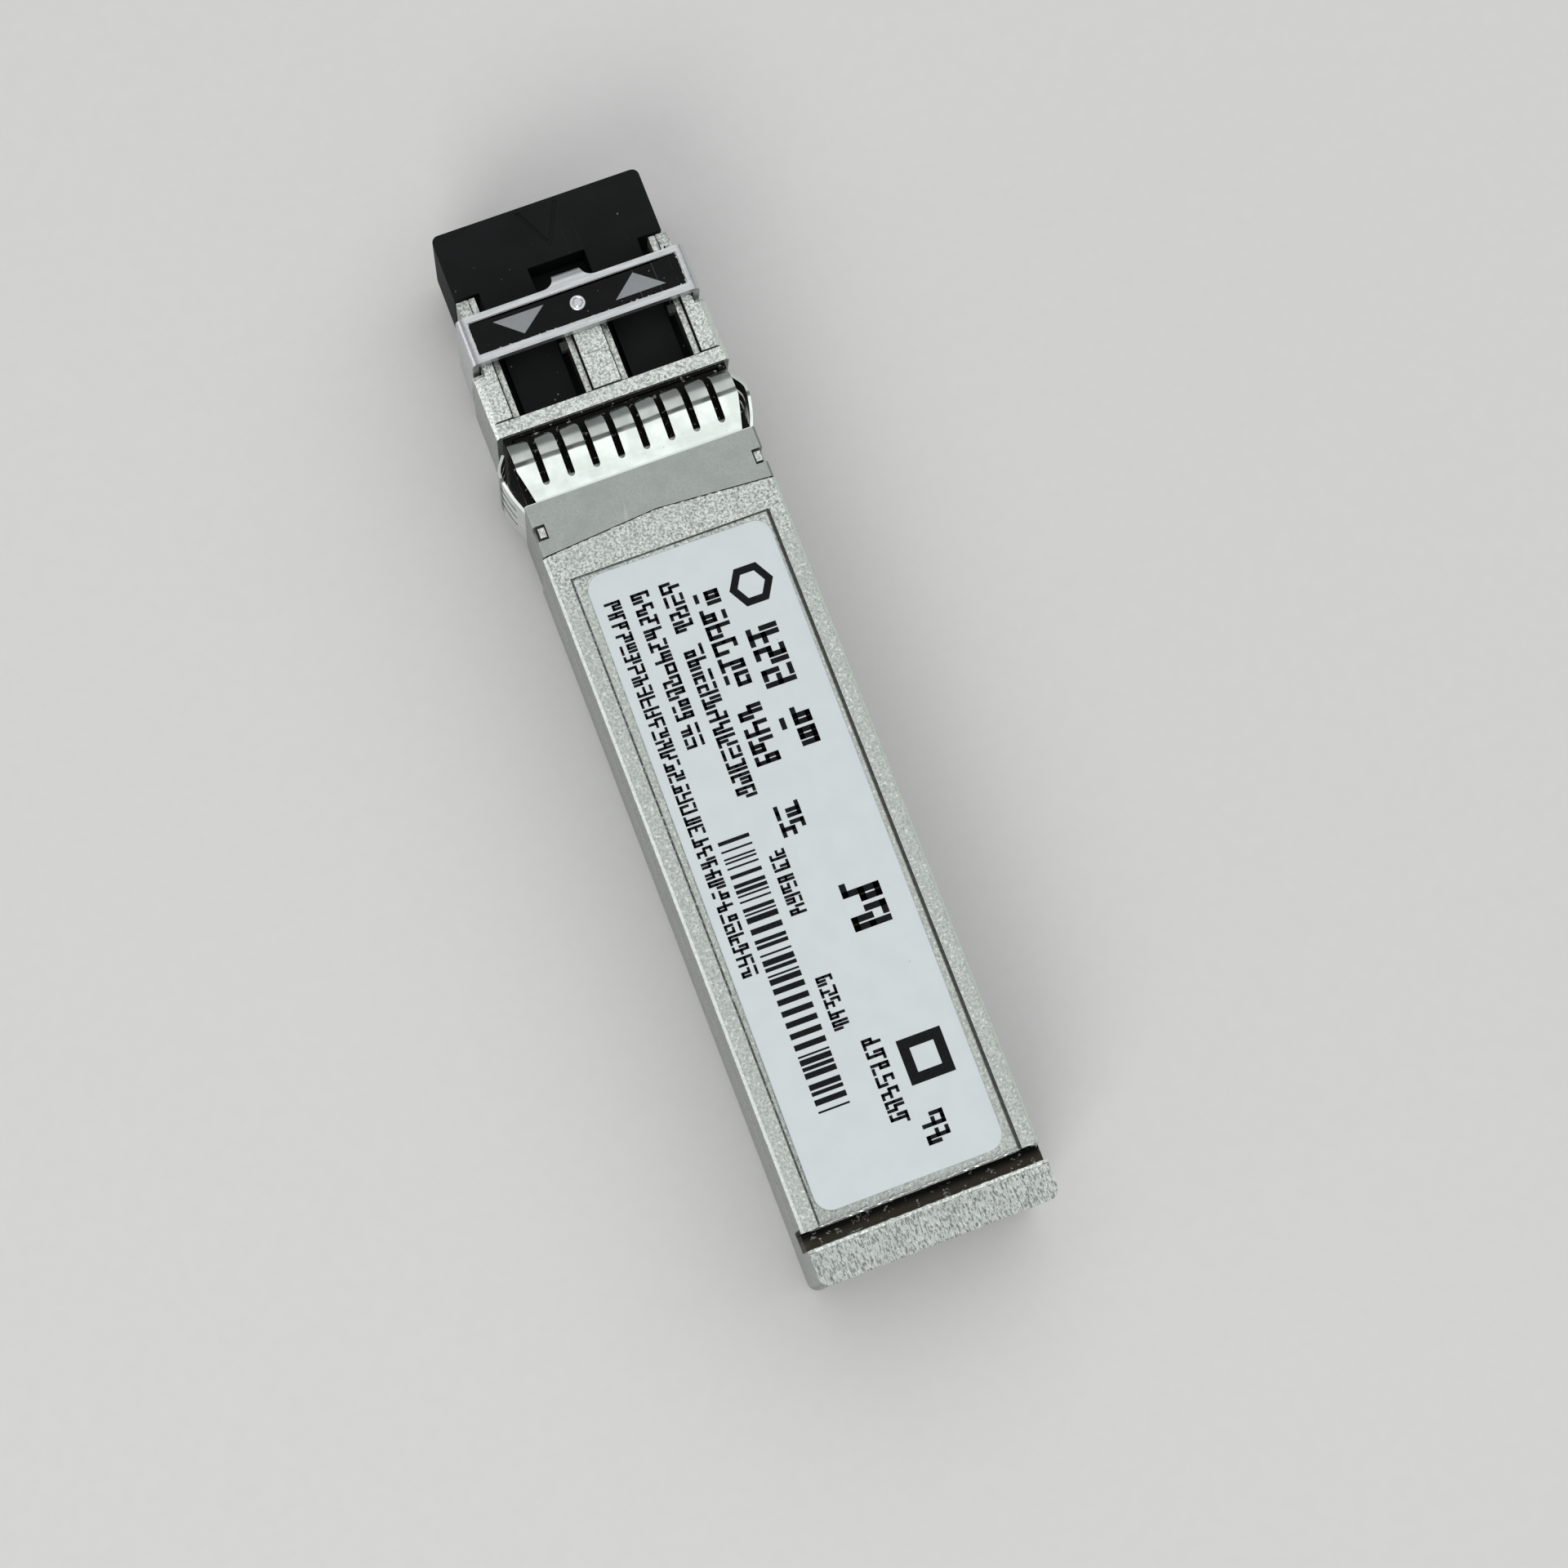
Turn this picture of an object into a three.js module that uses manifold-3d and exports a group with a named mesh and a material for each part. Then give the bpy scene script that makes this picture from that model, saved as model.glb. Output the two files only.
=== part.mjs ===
// Pluggable optical transceiver module with its duplex dust plug.
//
// Millimetres, +Z up. The origin is on the flat underside, midway between the
// nose tips and the rear face. The nose points to -Y, the edge connector to +Y.
// Lengths along the module are stations: distances forward of the rear face.

import * as THREE from 'three';
import { mergeVertices } from 'three/addons/utils/BufferGeometryUtils.js';
import Module from 'manifold-3d';

const wasm = await Module();
wasm.setup();

// Overall envelope
const NOSE_LENGTH = 56.5; // nose rib tips to the rear face
const HALF_WIDTH = 6.7;
const TOP = 8.5;
const GAP = 0.05; // clearance between fitted pieces
const OVERRUN = 1; // how far a cutter passes the surface that it cuts

// Stations, forward of the rear face
const END_BAR = 2.05;
const COVER_REAR = 3.0;
const SKIRT_END = 10.4; // the underside is open behind this
const BOARD_REAR = 3.2;
const BOARD_FRONT = 41;
const SEAT_REAR = 41.55; // tub ends and the collar seat begins
const BAND_FRONT = 44.4;
const FINGER_TIP = 47.85;
const STOP_FACE = 48.4; // rear face of the flange, which stops against the cage
const FLANGE_FRONT = 49.2;
const ARM_SHOULDER = 52.4; // the nose narrows here for the bail's arms
const BAIL_REAR = 52.55;
const BAIL_FRONT = 55.23;
const PORT_FACE = 55.4;
const PLUG_FRONT = 60.85;

// Heights
const FLOOR_TOP = 1.2;
const SPLIT_HEIGHT = 4.6; // joint between base and cover
const COVER_CEILING = 7.3;
const SEAT_TOP = 8.28;
const BOARD_BOTTOM = 2.25;
const BOARD_TOP = 3.25;
const OPTICAL_AXIS = 4.2;
const SEAT_BOTTOM = 0.2;

// Ports
const PORT_PITCH = 6.25;
const PORT_REAR = 48.7;
const PORT_HALF_WIDTH = 2.3;
const PORT_BOTTOM = 2.0;
const PORT_TOP = 6.4;
const WINDOW_HALF_WIDTH = 1.925;
const BARREL_RADIUS = 1.45;
const SEAT_CLEARANCE = 0.12;
const STEP_WIDTH = 0.42; // lowered step beside each window
const STEP_DEPTH = 0.4;
const GROOVE = 0.09; // width of the fine grooves beside the flange and the steps
const GROOVE_DEPTH = 0.14;

// Walls
const WALL = 0.75;
const INNER_HALF = HALF_WIDTH - WALL;
const SEAT_HALF = 6.4;
const RIB_HALF = 6.1; // the nose between the bail's arms
const RIB_INNER = 4.95; // inner sides of the two ribs ahead of the port face
const LEDGE_INNER = 5.1; // ledges under the board's edges
const CHAMFER = 0.18;
const BAR_CORNER = 0.6;

// Spring collar
const SHEET = 0.16;
const FINGER_BULGE = 0.63;
const SLOT_PITCH = 1.44;
const SLOT_WIDTH = 0.4;

// Bail
const BAIL_HALF = 6.57;
const ARM_INNER = 6.2;
const BAR_BOTTOM = 8.6;
const BAR_TOP = 9.12;
const BAIL_PIVOT_STATION = 53.9;
const BAIL_PIVOT_HEIGHT = 1.75;
const STUD_RADIUS = 0.6;
const STUD_END = 5.75; // |x| of the stud's inner end
const CAM_BASE = 0.88;
const CAM_LIFT = 0.45;
const SWING_CLEARANCE = 0.07;

// Latch lever
const LEVER_PIVOT_STATION = 50.2;
const LEVER_PIVOT_HEIGHT = 0.9;
const LEVER_HALF = 1.3;
const CHANNEL_HALF = 1.42;
const HUB_RADIUS = 0.72;
const PIN_RADIUS = 0.35;
const PIN_HALF = 2.6;
const WING_HALF = 6.5;
const WING_REAR = 53.2;
const WING_FRONT = 54.65;
const WING_BOTTOM = 0.25;
const WING_TOP = 0.75;
const BOSS_SHOULDER = 45;
const BOSS_HEIGHT = 0.45;

// The label's pocket in the cover
const POCKET_HALF = 5.7;
const POCKET_FRONT = 39.8;
const POCKET_FLOOR = 8.28;
const LABEL_HALF = 5.25;
const LABEL_REAR = 3.5;
const LABEL_FRONT = 39.55;
const LABEL_CORNER = 0.95;
const LABEL_THICKNESS = 0.1;

const REAR_Y = NOSE_LENGTH / 2;
const at = (station) => REAR_Y - station;
const SIDES = [-1, 1];
const portX = (side) => side * PORT_PITCH / 2;

// ---------------------------------------------------------------- shapes

// Block between two x values, two stations and two heights.
function block(x0, x1, station0, station1, z0, z1) {
  const geometry = new THREE.BoxGeometry(x1 - x0, Math.abs(station1 - station0), z1 - z0);
  return geometry.translate((x0 + x1) / 2, at((station0 + station1) / 2), (z0 + z1) / 2);
}

// Block as wide as 2 * half, centred on the module.
function centred(half, station0, station1, z0, z1) {
  return block(-half, half, station0, station1, z0, z1);
}

// Block on one side of the centre plane, between two distances from it.
function sideBlock(side, inner, outer, station0, station1, z0, z1) {
  return block(
    Math.min(side * inner, side * outer), Math.max(side * inner, side * outer),
    station0, station1, z0, z1,
  );
}

// Outline of [station, z] points or a Shape in (y, z), carried along X.
function alongX(outline, x0, x1, segments = 6) {
  const shape = outline instanceof THREE.Shape
    ? outline
    : new THREE.Shape(outline.map(([station, z]) => new THREE.Vector2(at(station), z)));
  const geometry = new THREE.ExtrudeGeometry(
    shape,
    { depth: x1 - x0, bevelEnabled: false, curveSegments: segments },
  );
  geometry.applyMatrix4(new THREE.Matrix4().set(
    0, 0, 1, x0,
    1, 0, 0, 0,
    0, 1, 0, 0,
    0, 0, 0, 1,
  ));
  return geometry;
}

// Outline of [x, z] points or a Shape in (x, z), carried between two stations.
function alongY(outline, station0, station1, segments = 6) {
  const shape = outline instanceof THREE.Shape
    ? outline
    : new THREE.Shape(outline.map(([x, z]) => new THREE.Vector2(x, z)));
  const near = Math.min(station0, station1);
  const depth = Math.abs(station1 - station0);
  const geometry = new THREE.ExtrudeGeometry(
    shape,
    { depth, bevelEnabled: false, curveSegments: segments },
  );
  return geometry.rotateX(Math.PI / 2).translate(0, at(near), 0);
}

// Outline of [x, station] points or a Shape in (x, y), carried up Z.
function alongZ(outline, z0, z1, segments = 6) {
  const shape = outline instanceof THREE.Shape
    ? outline
    : new THREE.Shape(outline.map(([x, station]) => new THREE.Vector2(x, at(station))));
  const geometry = new THREE.ExtrudeGeometry(
    shape,
    { depth: z1 - z0, bevelEnabled: false, curveSegments: segments },
  );
  return geometry.translate(0, 0, z0);
}

// Rod with its axis along X.
function rodX(radius, x0, x1, station, z, sides = 24) {
  const geometry = new THREE.CylinderGeometry(radius, radius, x1 - x0, sides);
  return geometry.rotateZ(Math.PI / 2).translate((x0 + x1) / 2, at(station), z);
}

// Rod with its axis along Y.
function rodY(radius, x, station0, station1, z, sides = 28) {
  const length = Math.abs(station1 - station0);
  const geometry = new THREE.CylinderGeometry(radius, radius, length, sides);
  return geometry.translate(x, at((station0 + station1) / 2), z);
}

// Rectangle in (x, y) whose corners are rounded, or square where the radius is 0.
// Radii in the order front left, front right, rear right, rear left.
function roundedPlan(x0, x1, rearStation, frontStation, radii, steps = 6) {
  const rear = at(rearStation);
  const front = at(frontStation);
  const corners = [[x0, front, 1, 1], [x1, front, -1, 1], [x1, rear, -1, -1], [x0, rear, 1, -1]];
  return new THREE.Shape(corners.flatMap(([x, y, inX, inY], index) => {
    const radius = radii[index];
    if (!radius) {
      return [new THREE.Vector2(x, y)];
    }
    return Array.from({ length: steps + 1 }, (_, step) => {
      const turn = Math.PI * (1 + index / 2 + step / steps / 2);
      return new THREE.Vector2(
        x + radius * (inX + Math.cos(turn)),
        y + radius * (inY + Math.sin(turn)),
      );
    });
  }));
}

// Strip of even thickness below a curve of [station, height] points.
function stripOutline(points, thickness, steps) {
  const curve = new THREE.SplineCurve(
    points.map(([station, z]) => new THREE.Vector2(at(station), z)),
  );
  const upper = curve.getSpacedPoints(steps);
  const lower = upper.map((point, index) => {
    const tangent = curve.getTangentAt(index / steps);
    const side = tangent.x > 0 ? 1 : -1;
    return new THREE.Vector2(
      point.x + side * tangent.y * thickness,
      point.y - side * tangent.x * thickness,
    );
  });
  return new THREE.Shape([...upper, ...lower.reverse()]);
}

// ---------------------------------------------------------------- booleans

// Closed geometry with its shared vertices merged, as a manifold solid.
function solid(geometry) {
  const bare = geometry.clone();
  bare.deleteAttribute('normal');
  bare.deleteAttribute('uv');
  const merged = mergeVertices(bare, 1e-5);
  return new wasm.Manifold(new wasm.Mesh({
    numProp: 3,
    vertProperties: new Float32Array(merged.attributes.position.array),
    triVerts: new Uint32Array(merged.index.array),
  }));
}

function join(...geometries) {
  return geometries.map(solid).reduce((all, one) => all.add(one));
}

function cut(body, ...geometries) {
  return geometries.reduce((left, geometry) => left.subtract(solid(geometry)), body);
}

function geometryOf(body) {
  const mesh = body.getMesh();
  const geometry = new THREE.BufferGeometry();
  geometry.setAttribute('position', new THREE.BufferAttribute(new Float32Array(mesh.vertProperties), 3));
  geometry.setIndex(new THREE.BufferAttribute(new Uint32Array(mesh.triVerts), 1));
  geometry.computeVertexNormals();
  return geometry;
}

// ---------------------------------------------------------------- materials

const FINISHES = {
  castZinc: { color: 0xb5bab0, roughness: 0.42, metalness: 0.85 },
  springSteel: { color: 0xd6d8d4, roughness: 0.2, metalness: 1 },
  stampedSteel: { color: 0xb8bfc1, roughness: 0.34, metalness: 0.95 },
  label: { color: 0xd3dce0, roughness: 0.5, metalness: 0 },
  blackFilm: { color: 0x16191a, roughness: 0.45, metalness: 0 },
  dustRubber: { color: 0x151a1a, roughness: 0.75, metalness: 0 },
  latchZinc: { color: 0x9fa39d, roughness: 0.45, metalness: 0.85 },
  laminate: { color: 0x1f5a37, roughness: 0.5, metalness: 0 },
  opticsSteel: { color: 0xc2bda6, roughness: 0.3, metalness: 1 },
  ceramicBarrel: { color: 0xdadad2, roughness: 0.35, metalness: 0.1 },
  polyimide: { color: 0xb5722a, roughness: 0.45, metalness: 0 },
  chipResin: { color: 0x1c1d1f, roughness: 0.6, metalness: 0 },
  ferrite: { color: 0x4a4a4c, roughness: 0.7, metalness: 0 },
  capacitorTan: { color: 0x9a7350, roughness: 0.5, metalness: 0 },
  gapPad: { color: 0x8f9fb5, roughness: 0.8, metalness: 0 },
  absorber: { color: 0x2a2b2d, roughness: 0.85, metalness: 0 },
};

const module = new THREE.Group();

// Adds one named piece, from a geometry or a cut solid.
function add(name, shape, finish) {
  const geometry = shape.isBufferGeometry ? shape : geometryOf(shape);
  const mesh = new THREE.Mesh(geometry, new THREE.MeshStandardMaterial(FINISHES[finish]));
  mesh.name = name;
  module.add(mesh);
}

// ---------------------------------------------------------------- base housing

// Cross-section of the nose, with small chamfers on its four long edges.
function nosePlan(half, bottom, top, chamfer) {
  return [
    [-half + chamfer, bottom],
    [half - chamfer, bottom],
    [half, bottom + chamfer],
    [half, top - chamfer],
    [half - chamfer, top],
    [-half + chamfer, top],
    [-half, top - chamfer],
    [-half, bottom + chamfer],
  ];
}

function baseBody() {
  const skin = 0.02; // the cover's step stands back by this much
  const stepDepth = 1;
  const overlap = 0.1;
  const barTop = TOP - skin;
  return join(
    alongY(nosePlan(HALF_WIDTH, 0, SPLIT_HEIGHT + CHAMFER, CHAMFER), COVER_REAR - GAP, SEAT_REAR),
    alongZ(roundedPlan(-HALF_WIDTH, HALF_WIDTH, 0, END_BAR, [0, 0, BAR_CORNER, BAR_CORNER]), 0, barTop),
    centred(HALF_WIDTH - skin, END_BAR - overlap, COVER_REAR - GAP, 0, TOP - stepDepth),
    centred(SEAT_HALF, SEAT_REAR - 5 * overlap, STOP_FACE + overlap, SEAT_BOTTOM, SEAT_TOP),
    alongY(nosePlan(HALF_WIDTH, 0, TOP + GAP, CHAMFER), STOP_FACE, FLANGE_FRONT),
    alongY(nosePlan(HALF_WIDTH, 0, TOP, 2 * CHAMFER), FLANGE_FRONT - overlap, ARM_SHOULDER),
    alongY(nosePlan(RIB_HALF, 0, TOP, CHAMFER), ARM_SHOULDER - overlap, NOSE_LENGTH),
  );
}

// Room for the board, the optics and the host's connector.
function innerCutters() {
  const connectorTop = 6.6;
  const opticsFront = 46.4;
  const cover = TOP + OVERRUN;
  return [
    centred(INNER_HALF, BOARD_FRONT + 0.2, -OVERRUN, FLOOR_TOP, connectorTop),
    centred(INNER_HALF, SEAT_REAR, COVER_REAR - GAP, FLOOR_TOP, cover),
    centred(HALF_WIDTH + OVERRUN, SEAT_REAR, COVER_REAR - GAP, SPLIT_HEIGHT, cover),
    centred(INNER_HALF, SKIRT_END, -OVERRUN, -OVERRUN, FLOOR_TOP + 0.1),
    centred(INNER_HALF, BOARD_FRONT, opticsFront, FLOOR_TOP, cover),
    centred(INNER_HALF, opticsFront - 0.1, STOP_FACE - 0.2, OPTICAL_AXIS, cover),
  ];
}

// Ledges under the board's edges, the roof over the lever's rear end, and small
// lugs that stand up through the notches in the collar's band.
function innerFeatures() {
  const ledgeRear = SKIRT_END + 0.4;
  const ledgeFront = BOARD_FRONT - 1;
  const roofHalf = CHANNEL_HALF + 0.3;
  return [
    ...SIDES.map((side) => (
      sideBlock(side, LEDGE_INNER, HALF_WIDTH - 0.3, ledgeRear, ledgeFront, 0.5, BOARD_BOTTOM - GAP)
    )),
    centred(roofHalf, SEAT_REAR - 0.15, 46.6, 0.5, 2.4),
    ...SIDES.map((side) => sideBlock(side, 6.03, SEAT_HALF - 0.02, 42.45, 43.0, 7.8, TOP - 0.04)),
  ];
}

// Port, barrel bore, window with its lowered steps, and the arm's pocket and stud hole.
function portCutters(side) {
  const x = portX(side);
  const front = NOSE_LENGTH + OVERRUN;
  const above = TOP + OVERRUN;
  const window = WINDOW_HALF_WIDTH;
  const pocketInner = RIB_HALF - 0.05;
  const holeEnd = STUD_END - 0.09;
  const beyond = HALF_WIDTH + OVERRUN;
  return [
    block(x - PORT_HALF_WIDTH, x + PORT_HALF_WIDTH, PORT_REAR, front, PORT_BOTTOM, PORT_TOP),
    rodY(BARREL_RADIUS + SEAT_CLEARANCE, x, 46, PORT_REAR + 0.3, OPTICAL_AXIS),
    block(x - window, x + window, FLANGE_FRONT + 0.02, front, PORT_TOP - 0.1, above),
    block(x - window - STEP_WIDTH, x + window + STEP_WIDTH, FLANGE_FRONT + GROOVE, front,
      TOP - STEP_DEPTH, above),
    ...[-window - STEP_WIDTH, window + STEP_WIDTH - GROOVE].map((offset) => (
      block(x + offset, x + offset + GROOVE, FLANGE_FRONT + GROOVE, front,
        TOP - STEP_DEPTH - 2 * GROOVE_DEPTH, above)
    )),
    sideBlock(side, pocketInner, beyond, ARM_SHOULDER - 0.45, ARM_SHOULDER + 0.2, TOP - 1, above),
    rodX(STUD_RADIUS + 0.1, side > 0 ? holeEnd : -beyond, side > 0 ? beyond : -holeEnd,
      BAIL_PIVOT_STATION, BAIL_PIVOT_HEIGHT),
  ];
}

// The nose's top falls away along an arc about the bail's pivot, so that the
// crossbar can swing over the rib tips.
function swingCutter() {
  const radius = BAR_BOTTOM - BAIL_PIVOT_HEIGHT - SWING_CLEARANCE;
  const steps = 12;
  const sweep = 0.5;
  const arc = Array.from({ length: steps + 1 }, (_, index) => {
    const turn = sweep * index / steps;
    return [BAIL_PIVOT_STATION + radius * Math.sin(turn), BAIL_PIVOT_HEIGHT + radius * Math.cos(turn)];
  });
  const end = arc[steps][0];
  const above = TOP + OVERRUN;
  return alongX([...arc, [end, above], [BAIL_PIVOT_STATION, above]], -HALF_WIDTH, HALF_WIDTH);
}

// Small tabs that reach into the windows beside the crossbar's rear edge.
function windowTabs() {
  return SIDES.map((side) => {
    const wall = portX(side) - WINDOW_HALF_WIDTH;
    return block(wall - 0.25, wall + 0.42, ARM_SHOULDER - 0.38, ARM_SHOULDER + 0.1, TOP - 1.0, TOP - 0.52);
  });
}

function noseCutters() {
  const padHalf = 0.62;
  const padDepth = 0.08;
  const pinMark = 5.62;
  return [
    ...SIDES.flatMap(portCutters),
    // Between the outer ribs the nose ends at the port face.
    centred(RIB_INNER, PORT_FACE, NOSE_LENGTH + OVERRUN, 0.9, TOP + OVERRUN),
    // Groove between the flange and the ribs
    centred(HALF_WIDTH + OVERRUN, FLANGE_FRONT, FLANGE_FRONT + GROOVE, TOP - GROOVE_DEPTH, TOP + OVERRUN),
    // Slit in the tip of one rib
    block(-pinMark - GROOVE, -pinMark, PORT_FACE - 0.2, PORT_FACE + 0.25, TOP - 0.8, TOP + OVERRUN),
    // Shallow line across the centre rib
    centred(padHalf, 51.2, 51.3, TOP - padDepth, TOP + OVERRUN),
    swingCutter(),
  ];
}

function latchCutters() {
  const hubRoom = HUB_RADIUS + 0.18;
  const wingRoom = 0.25;
  return [
    // Lever channel, with more room where the boss end rises
    alongX([
      [41.95, -OVERRUN], [41.95, 2.05], [45, 2.05], [48.9, 1.4], [53.5, 1.4], [53.5, -OVERRUN],
    ], -CHANNEL_HALF, CHANNEL_HALF),
    rodX(hubRoom, -CHANNEL_HALF, CHANNEL_HALF, LEVER_PIVOT_STATION, LEVER_PIVOT_HEIGHT),
    // Cross channel for the lever's wings
    centred(HALF_WIDTH + OVERRUN, WING_REAR - wingRoom, WING_FRONT + wingRoom, -OVERRUN, WING_TOP + 0.12),
    rodX(PIN_RADIUS + 0.06, -PIN_HALF - GAP, PIN_HALF + GAP, LEVER_PIVOT_STATION, LEVER_PIVOT_HEIGHT),
  ];
}

function baseHousing() {
  let body = cut(baseBody(), ...innerCutters());
  for (const feature of innerFeatures()) {
    body = body.add(solid(feature));
  }
  body = cut(body, ...noseCutters(), ...latchCutters());
  return windowTabs().reduce((whole, tab) => whole.add(solid(tab)), body);
}

// ---------------------------------------------------------------- top cover

// The cover's front edge runs to a shallow point on the centre line.
const CHEVRON_SIDE = 41.35;
const CHEVRON_TIP = 41.85;
const PEDESTAL_FACE = 4.95; // underside of the heat-spreading block

function topCover() {
  const chamfer = 0.2;
  const beyond = HALF_WIDTH + OVERRUN;
  const section = [
    [-HALF_WIDTH, SPLIT_HEIGHT + GAP],
    [-INNER_HALF, SPLIT_HEIGHT + GAP],
    [-INNER_HALF, COVER_CEILING],
    [INNER_HALF, COVER_CEILING],
    [INNER_HALF, SPLIT_HEIGHT + GAP],
    [HALF_WIDTH, SPLIT_HEIGHT + GAP],
    [HALF_WIDTH, TOP - chamfer],
    [HALF_WIDTH - chamfer, TOP],
    [-HALF_WIDTH + chamfer, TOP],
    [-HALF_WIDTH, TOP - chamfer],
  ];
  const outline = [
    [-beyond, COVER_REAR], [beyond, COVER_REAR], [beyond, CHEVRON_SIDE], [HALF_WIDTH, CHEVRON_SIDE],
    [0, CHEVRON_TIP], [-HALF_WIDTH, CHEVRON_SIDE], [-beyond, CHEVRON_SIDE],
  ];
  const shell = solid(alongY(section, COVER_REAR - 0.5, CHEVRON_TIP + 1))
    .intersect(solid(alongZ(outline, 0, TOP + OVERRUN)));
  const pedestal = centred(4.9, 30.8, 35.4, PEDESTAL_FACE, COVER_CEILING + 0.2);
  const tongue = centred(
    INNER_HALF - 0.1, CHEVRON_SIDE - 1, STOP_FACE - 0.25, COVER_CEILING, SEAT_TOP - 0.02,
  );
  const body = shell.add(solid(pedestal)).add(solid(tongue));
  return cut(body, centred(POCKET_HALF, POCKET_FRONT, -OVERRUN, POCKET_FLOOR, TOP + OVERRUN));
}

function productLabel() {
  const plan = roundedPlan(
    -LABEL_HALF, LABEL_HALF, LABEL_REAR, LABEL_FRONT, Array(4).fill(LABEL_CORNER), 8,
  );
  const seat = POCKET_FLOOR + 0.005;
  return alongZ(plan, seat, seat + LABEL_THICKNESS);
}

// ---------------------------------------------------------------- spring collar

const COLLAR_HALF = 6.6;
const COLLAR_BOTTOM = 0.02;
const COLLAR_TOP = TOP;
const COLLAR_REAR = 41.3;
const NOTCH_REAR = 42.3;
const NOTCH_LENGTH = 0.85;
const NOTCH_INNER = 5.95;

// Height of a finger's outer face above the band, from its root to its tip.
function fingerOutline() {
  const steps = 12;
  return stripOutline([
    [BAND_FRONT - 0.4, 0],
    [BAND_FRONT, 0.02],
    [45.4, 0.62 * FINGER_BULGE],
    [46.6, FINGER_BULGE],
    [47.2, 0.85 * FINGER_BULGE],
    [FINGER_TIP, 0.1 * FINGER_BULGE],
  ], SHEET, steps);
}

// Slot between two fingers: round at the root, flared by the rounded finger tips.
function slotOutline(centre) {
  const half = SLOT_WIDTH / 2;
  const flare = 0.3;
  const root = at(BAND_FRONT + 0.85);
  const tip = at(FINGER_TIP);
  const shape = new THREE.Shape();
  shape.absarc(centre, root, half, 0, Math.PI);
  shape.absarc(centre - half - flare, tip + flare, flare, 0, -Math.PI / 2, true);
  shape.lineTo(centre - half - flare, tip - OVERRUN);
  shape.lineTo(centre + half + flare, tip - OVERRUN);
  shape.absarc(centre + half + flare, tip + flare, flare, 1.5 * Math.PI, Math.PI, true);
  return shape;
}

// One panel of fingers above the band's top face, centred on x = centre. The
// outermost fingers narrow by the taper towards their roots.
function fingerPanel(centre, half, slots, taper) {
  const panel = solid(alongX(fingerOutline(), centre - half, centre + half));
  const first = centre - SLOT_PITCH * (slots - 1) / 2;
  const reach = 2;
  const cutters = Array.from({ length: slots }, (_, index) => (
    alongZ(slotOutline(first + index * SLOT_PITCH), -reach, reach, 4)
  ));
  const rootStation = BAND_FRONT - 0.1;
  const fullStation = 46.2;
  const behind = BAND_FRONT - 1.4;
  const wedges = SIDES.map((side) => {
    const edge = centre + side * half;
    const outline = [
      [edge - side * taper, behind], [edge - side * taper, rootStation], [edge, fullStation],
      [edge + side, fullStation], [edge + side, behind],
    ];
    return alongZ(side > 0 ? outline.reverse() : outline, -reach, reach);
  });
  return cut(panel, ...cutters, ...wedges);
}

function emiCollar() {
  const inner = [
    [-COLLAR_HALF + SHEET, COLLAR_BOTTOM + SHEET],
    [COLLAR_HALF - SHEET, COLLAR_BOTTOM + SHEET],
    [COLLAR_HALF - SHEET, COLLAR_TOP - SHEET],
    [-COLLAR_HALF + SHEET, COLLAR_TOP - SHEET],
  ];
  const fold = 0.12;
  const beyond = COLLAR_HALF + OVERRUN;
  const behind = COLLAR_REAR - OVERRUN;
  const ring = solid(alongY(nosePlan(COLLAR_HALF, COLLAR_BOTTOM, COLLAR_TOP, fold), COLLAR_REAR, BAND_FRONT))
    .subtract(solid(alongY(inner, behind, BAND_FRONT + OVERRUN)));
  const side = CHEVRON_SIDE + GAP - 0.05;
  const tip = CHEVRON_TIP + GAP;
  const chevron = [[-beyond, side], [0, tip], [beyond, side], [beyond, behind], [-beyond, behind]];
  const notches = SIDES.map((sign) => sideBlock(
    sign, NOTCH_INNER, beyond, NOTCH_REAR, NOTCH_REAR + NOTCH_LENGTH, TOP - 1, TOP + OVERRUN,
  ));
  const band = cut(
    ring,
    alongZ(chevron.reverse(), COLLAR_TOP - 0.5, TOP + OVERRUN),
    centred(beyond, behind, SEAT_REAR + GAP, -OVERRUN, COLLAR_TOP - 0.4),
    centred(CHANNEL_HALF + 0.25, 42.1, 50, -OVERRUN, 0.5),
    ...notches,
  );
  const middle = (COLLAR_TOP + COLLAR_BOTTOM) / 2;
  const topHalf = 6.35;
  const sideHalf = 3.1;
  const underHalf = 2.2;
  const underCentre = 4.05;
  const top = fingerPanel(0, topHalf, 8, 0.45).translate([0, 0, COLLAR_TOP]);
  const right = fingerPanel(0, sideHalf, 3, 0.3)
    .rotate([0, 90, 0])
    .translate([COLLAR_HALF, 0, middle]);
  const left = fingerPanel(0, sideHalf, 3, 0.3)
    .rotate([0, -90, 0])
    .translate([-COLLAR_HALF, 0, middle]);
  const under = SIDES.map((sign) => fingerPanel(sign * underCentre, underHalf, 2, 0.25)
    .rotate([0, 180, 0])
    .translate([0, 0, COLLAR_BOTTOM]));
  return [top, right, left, ...under].reduce((all, panel) => all.add(panel), band);
}

// ---------------------------------------------------------------- bail

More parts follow.
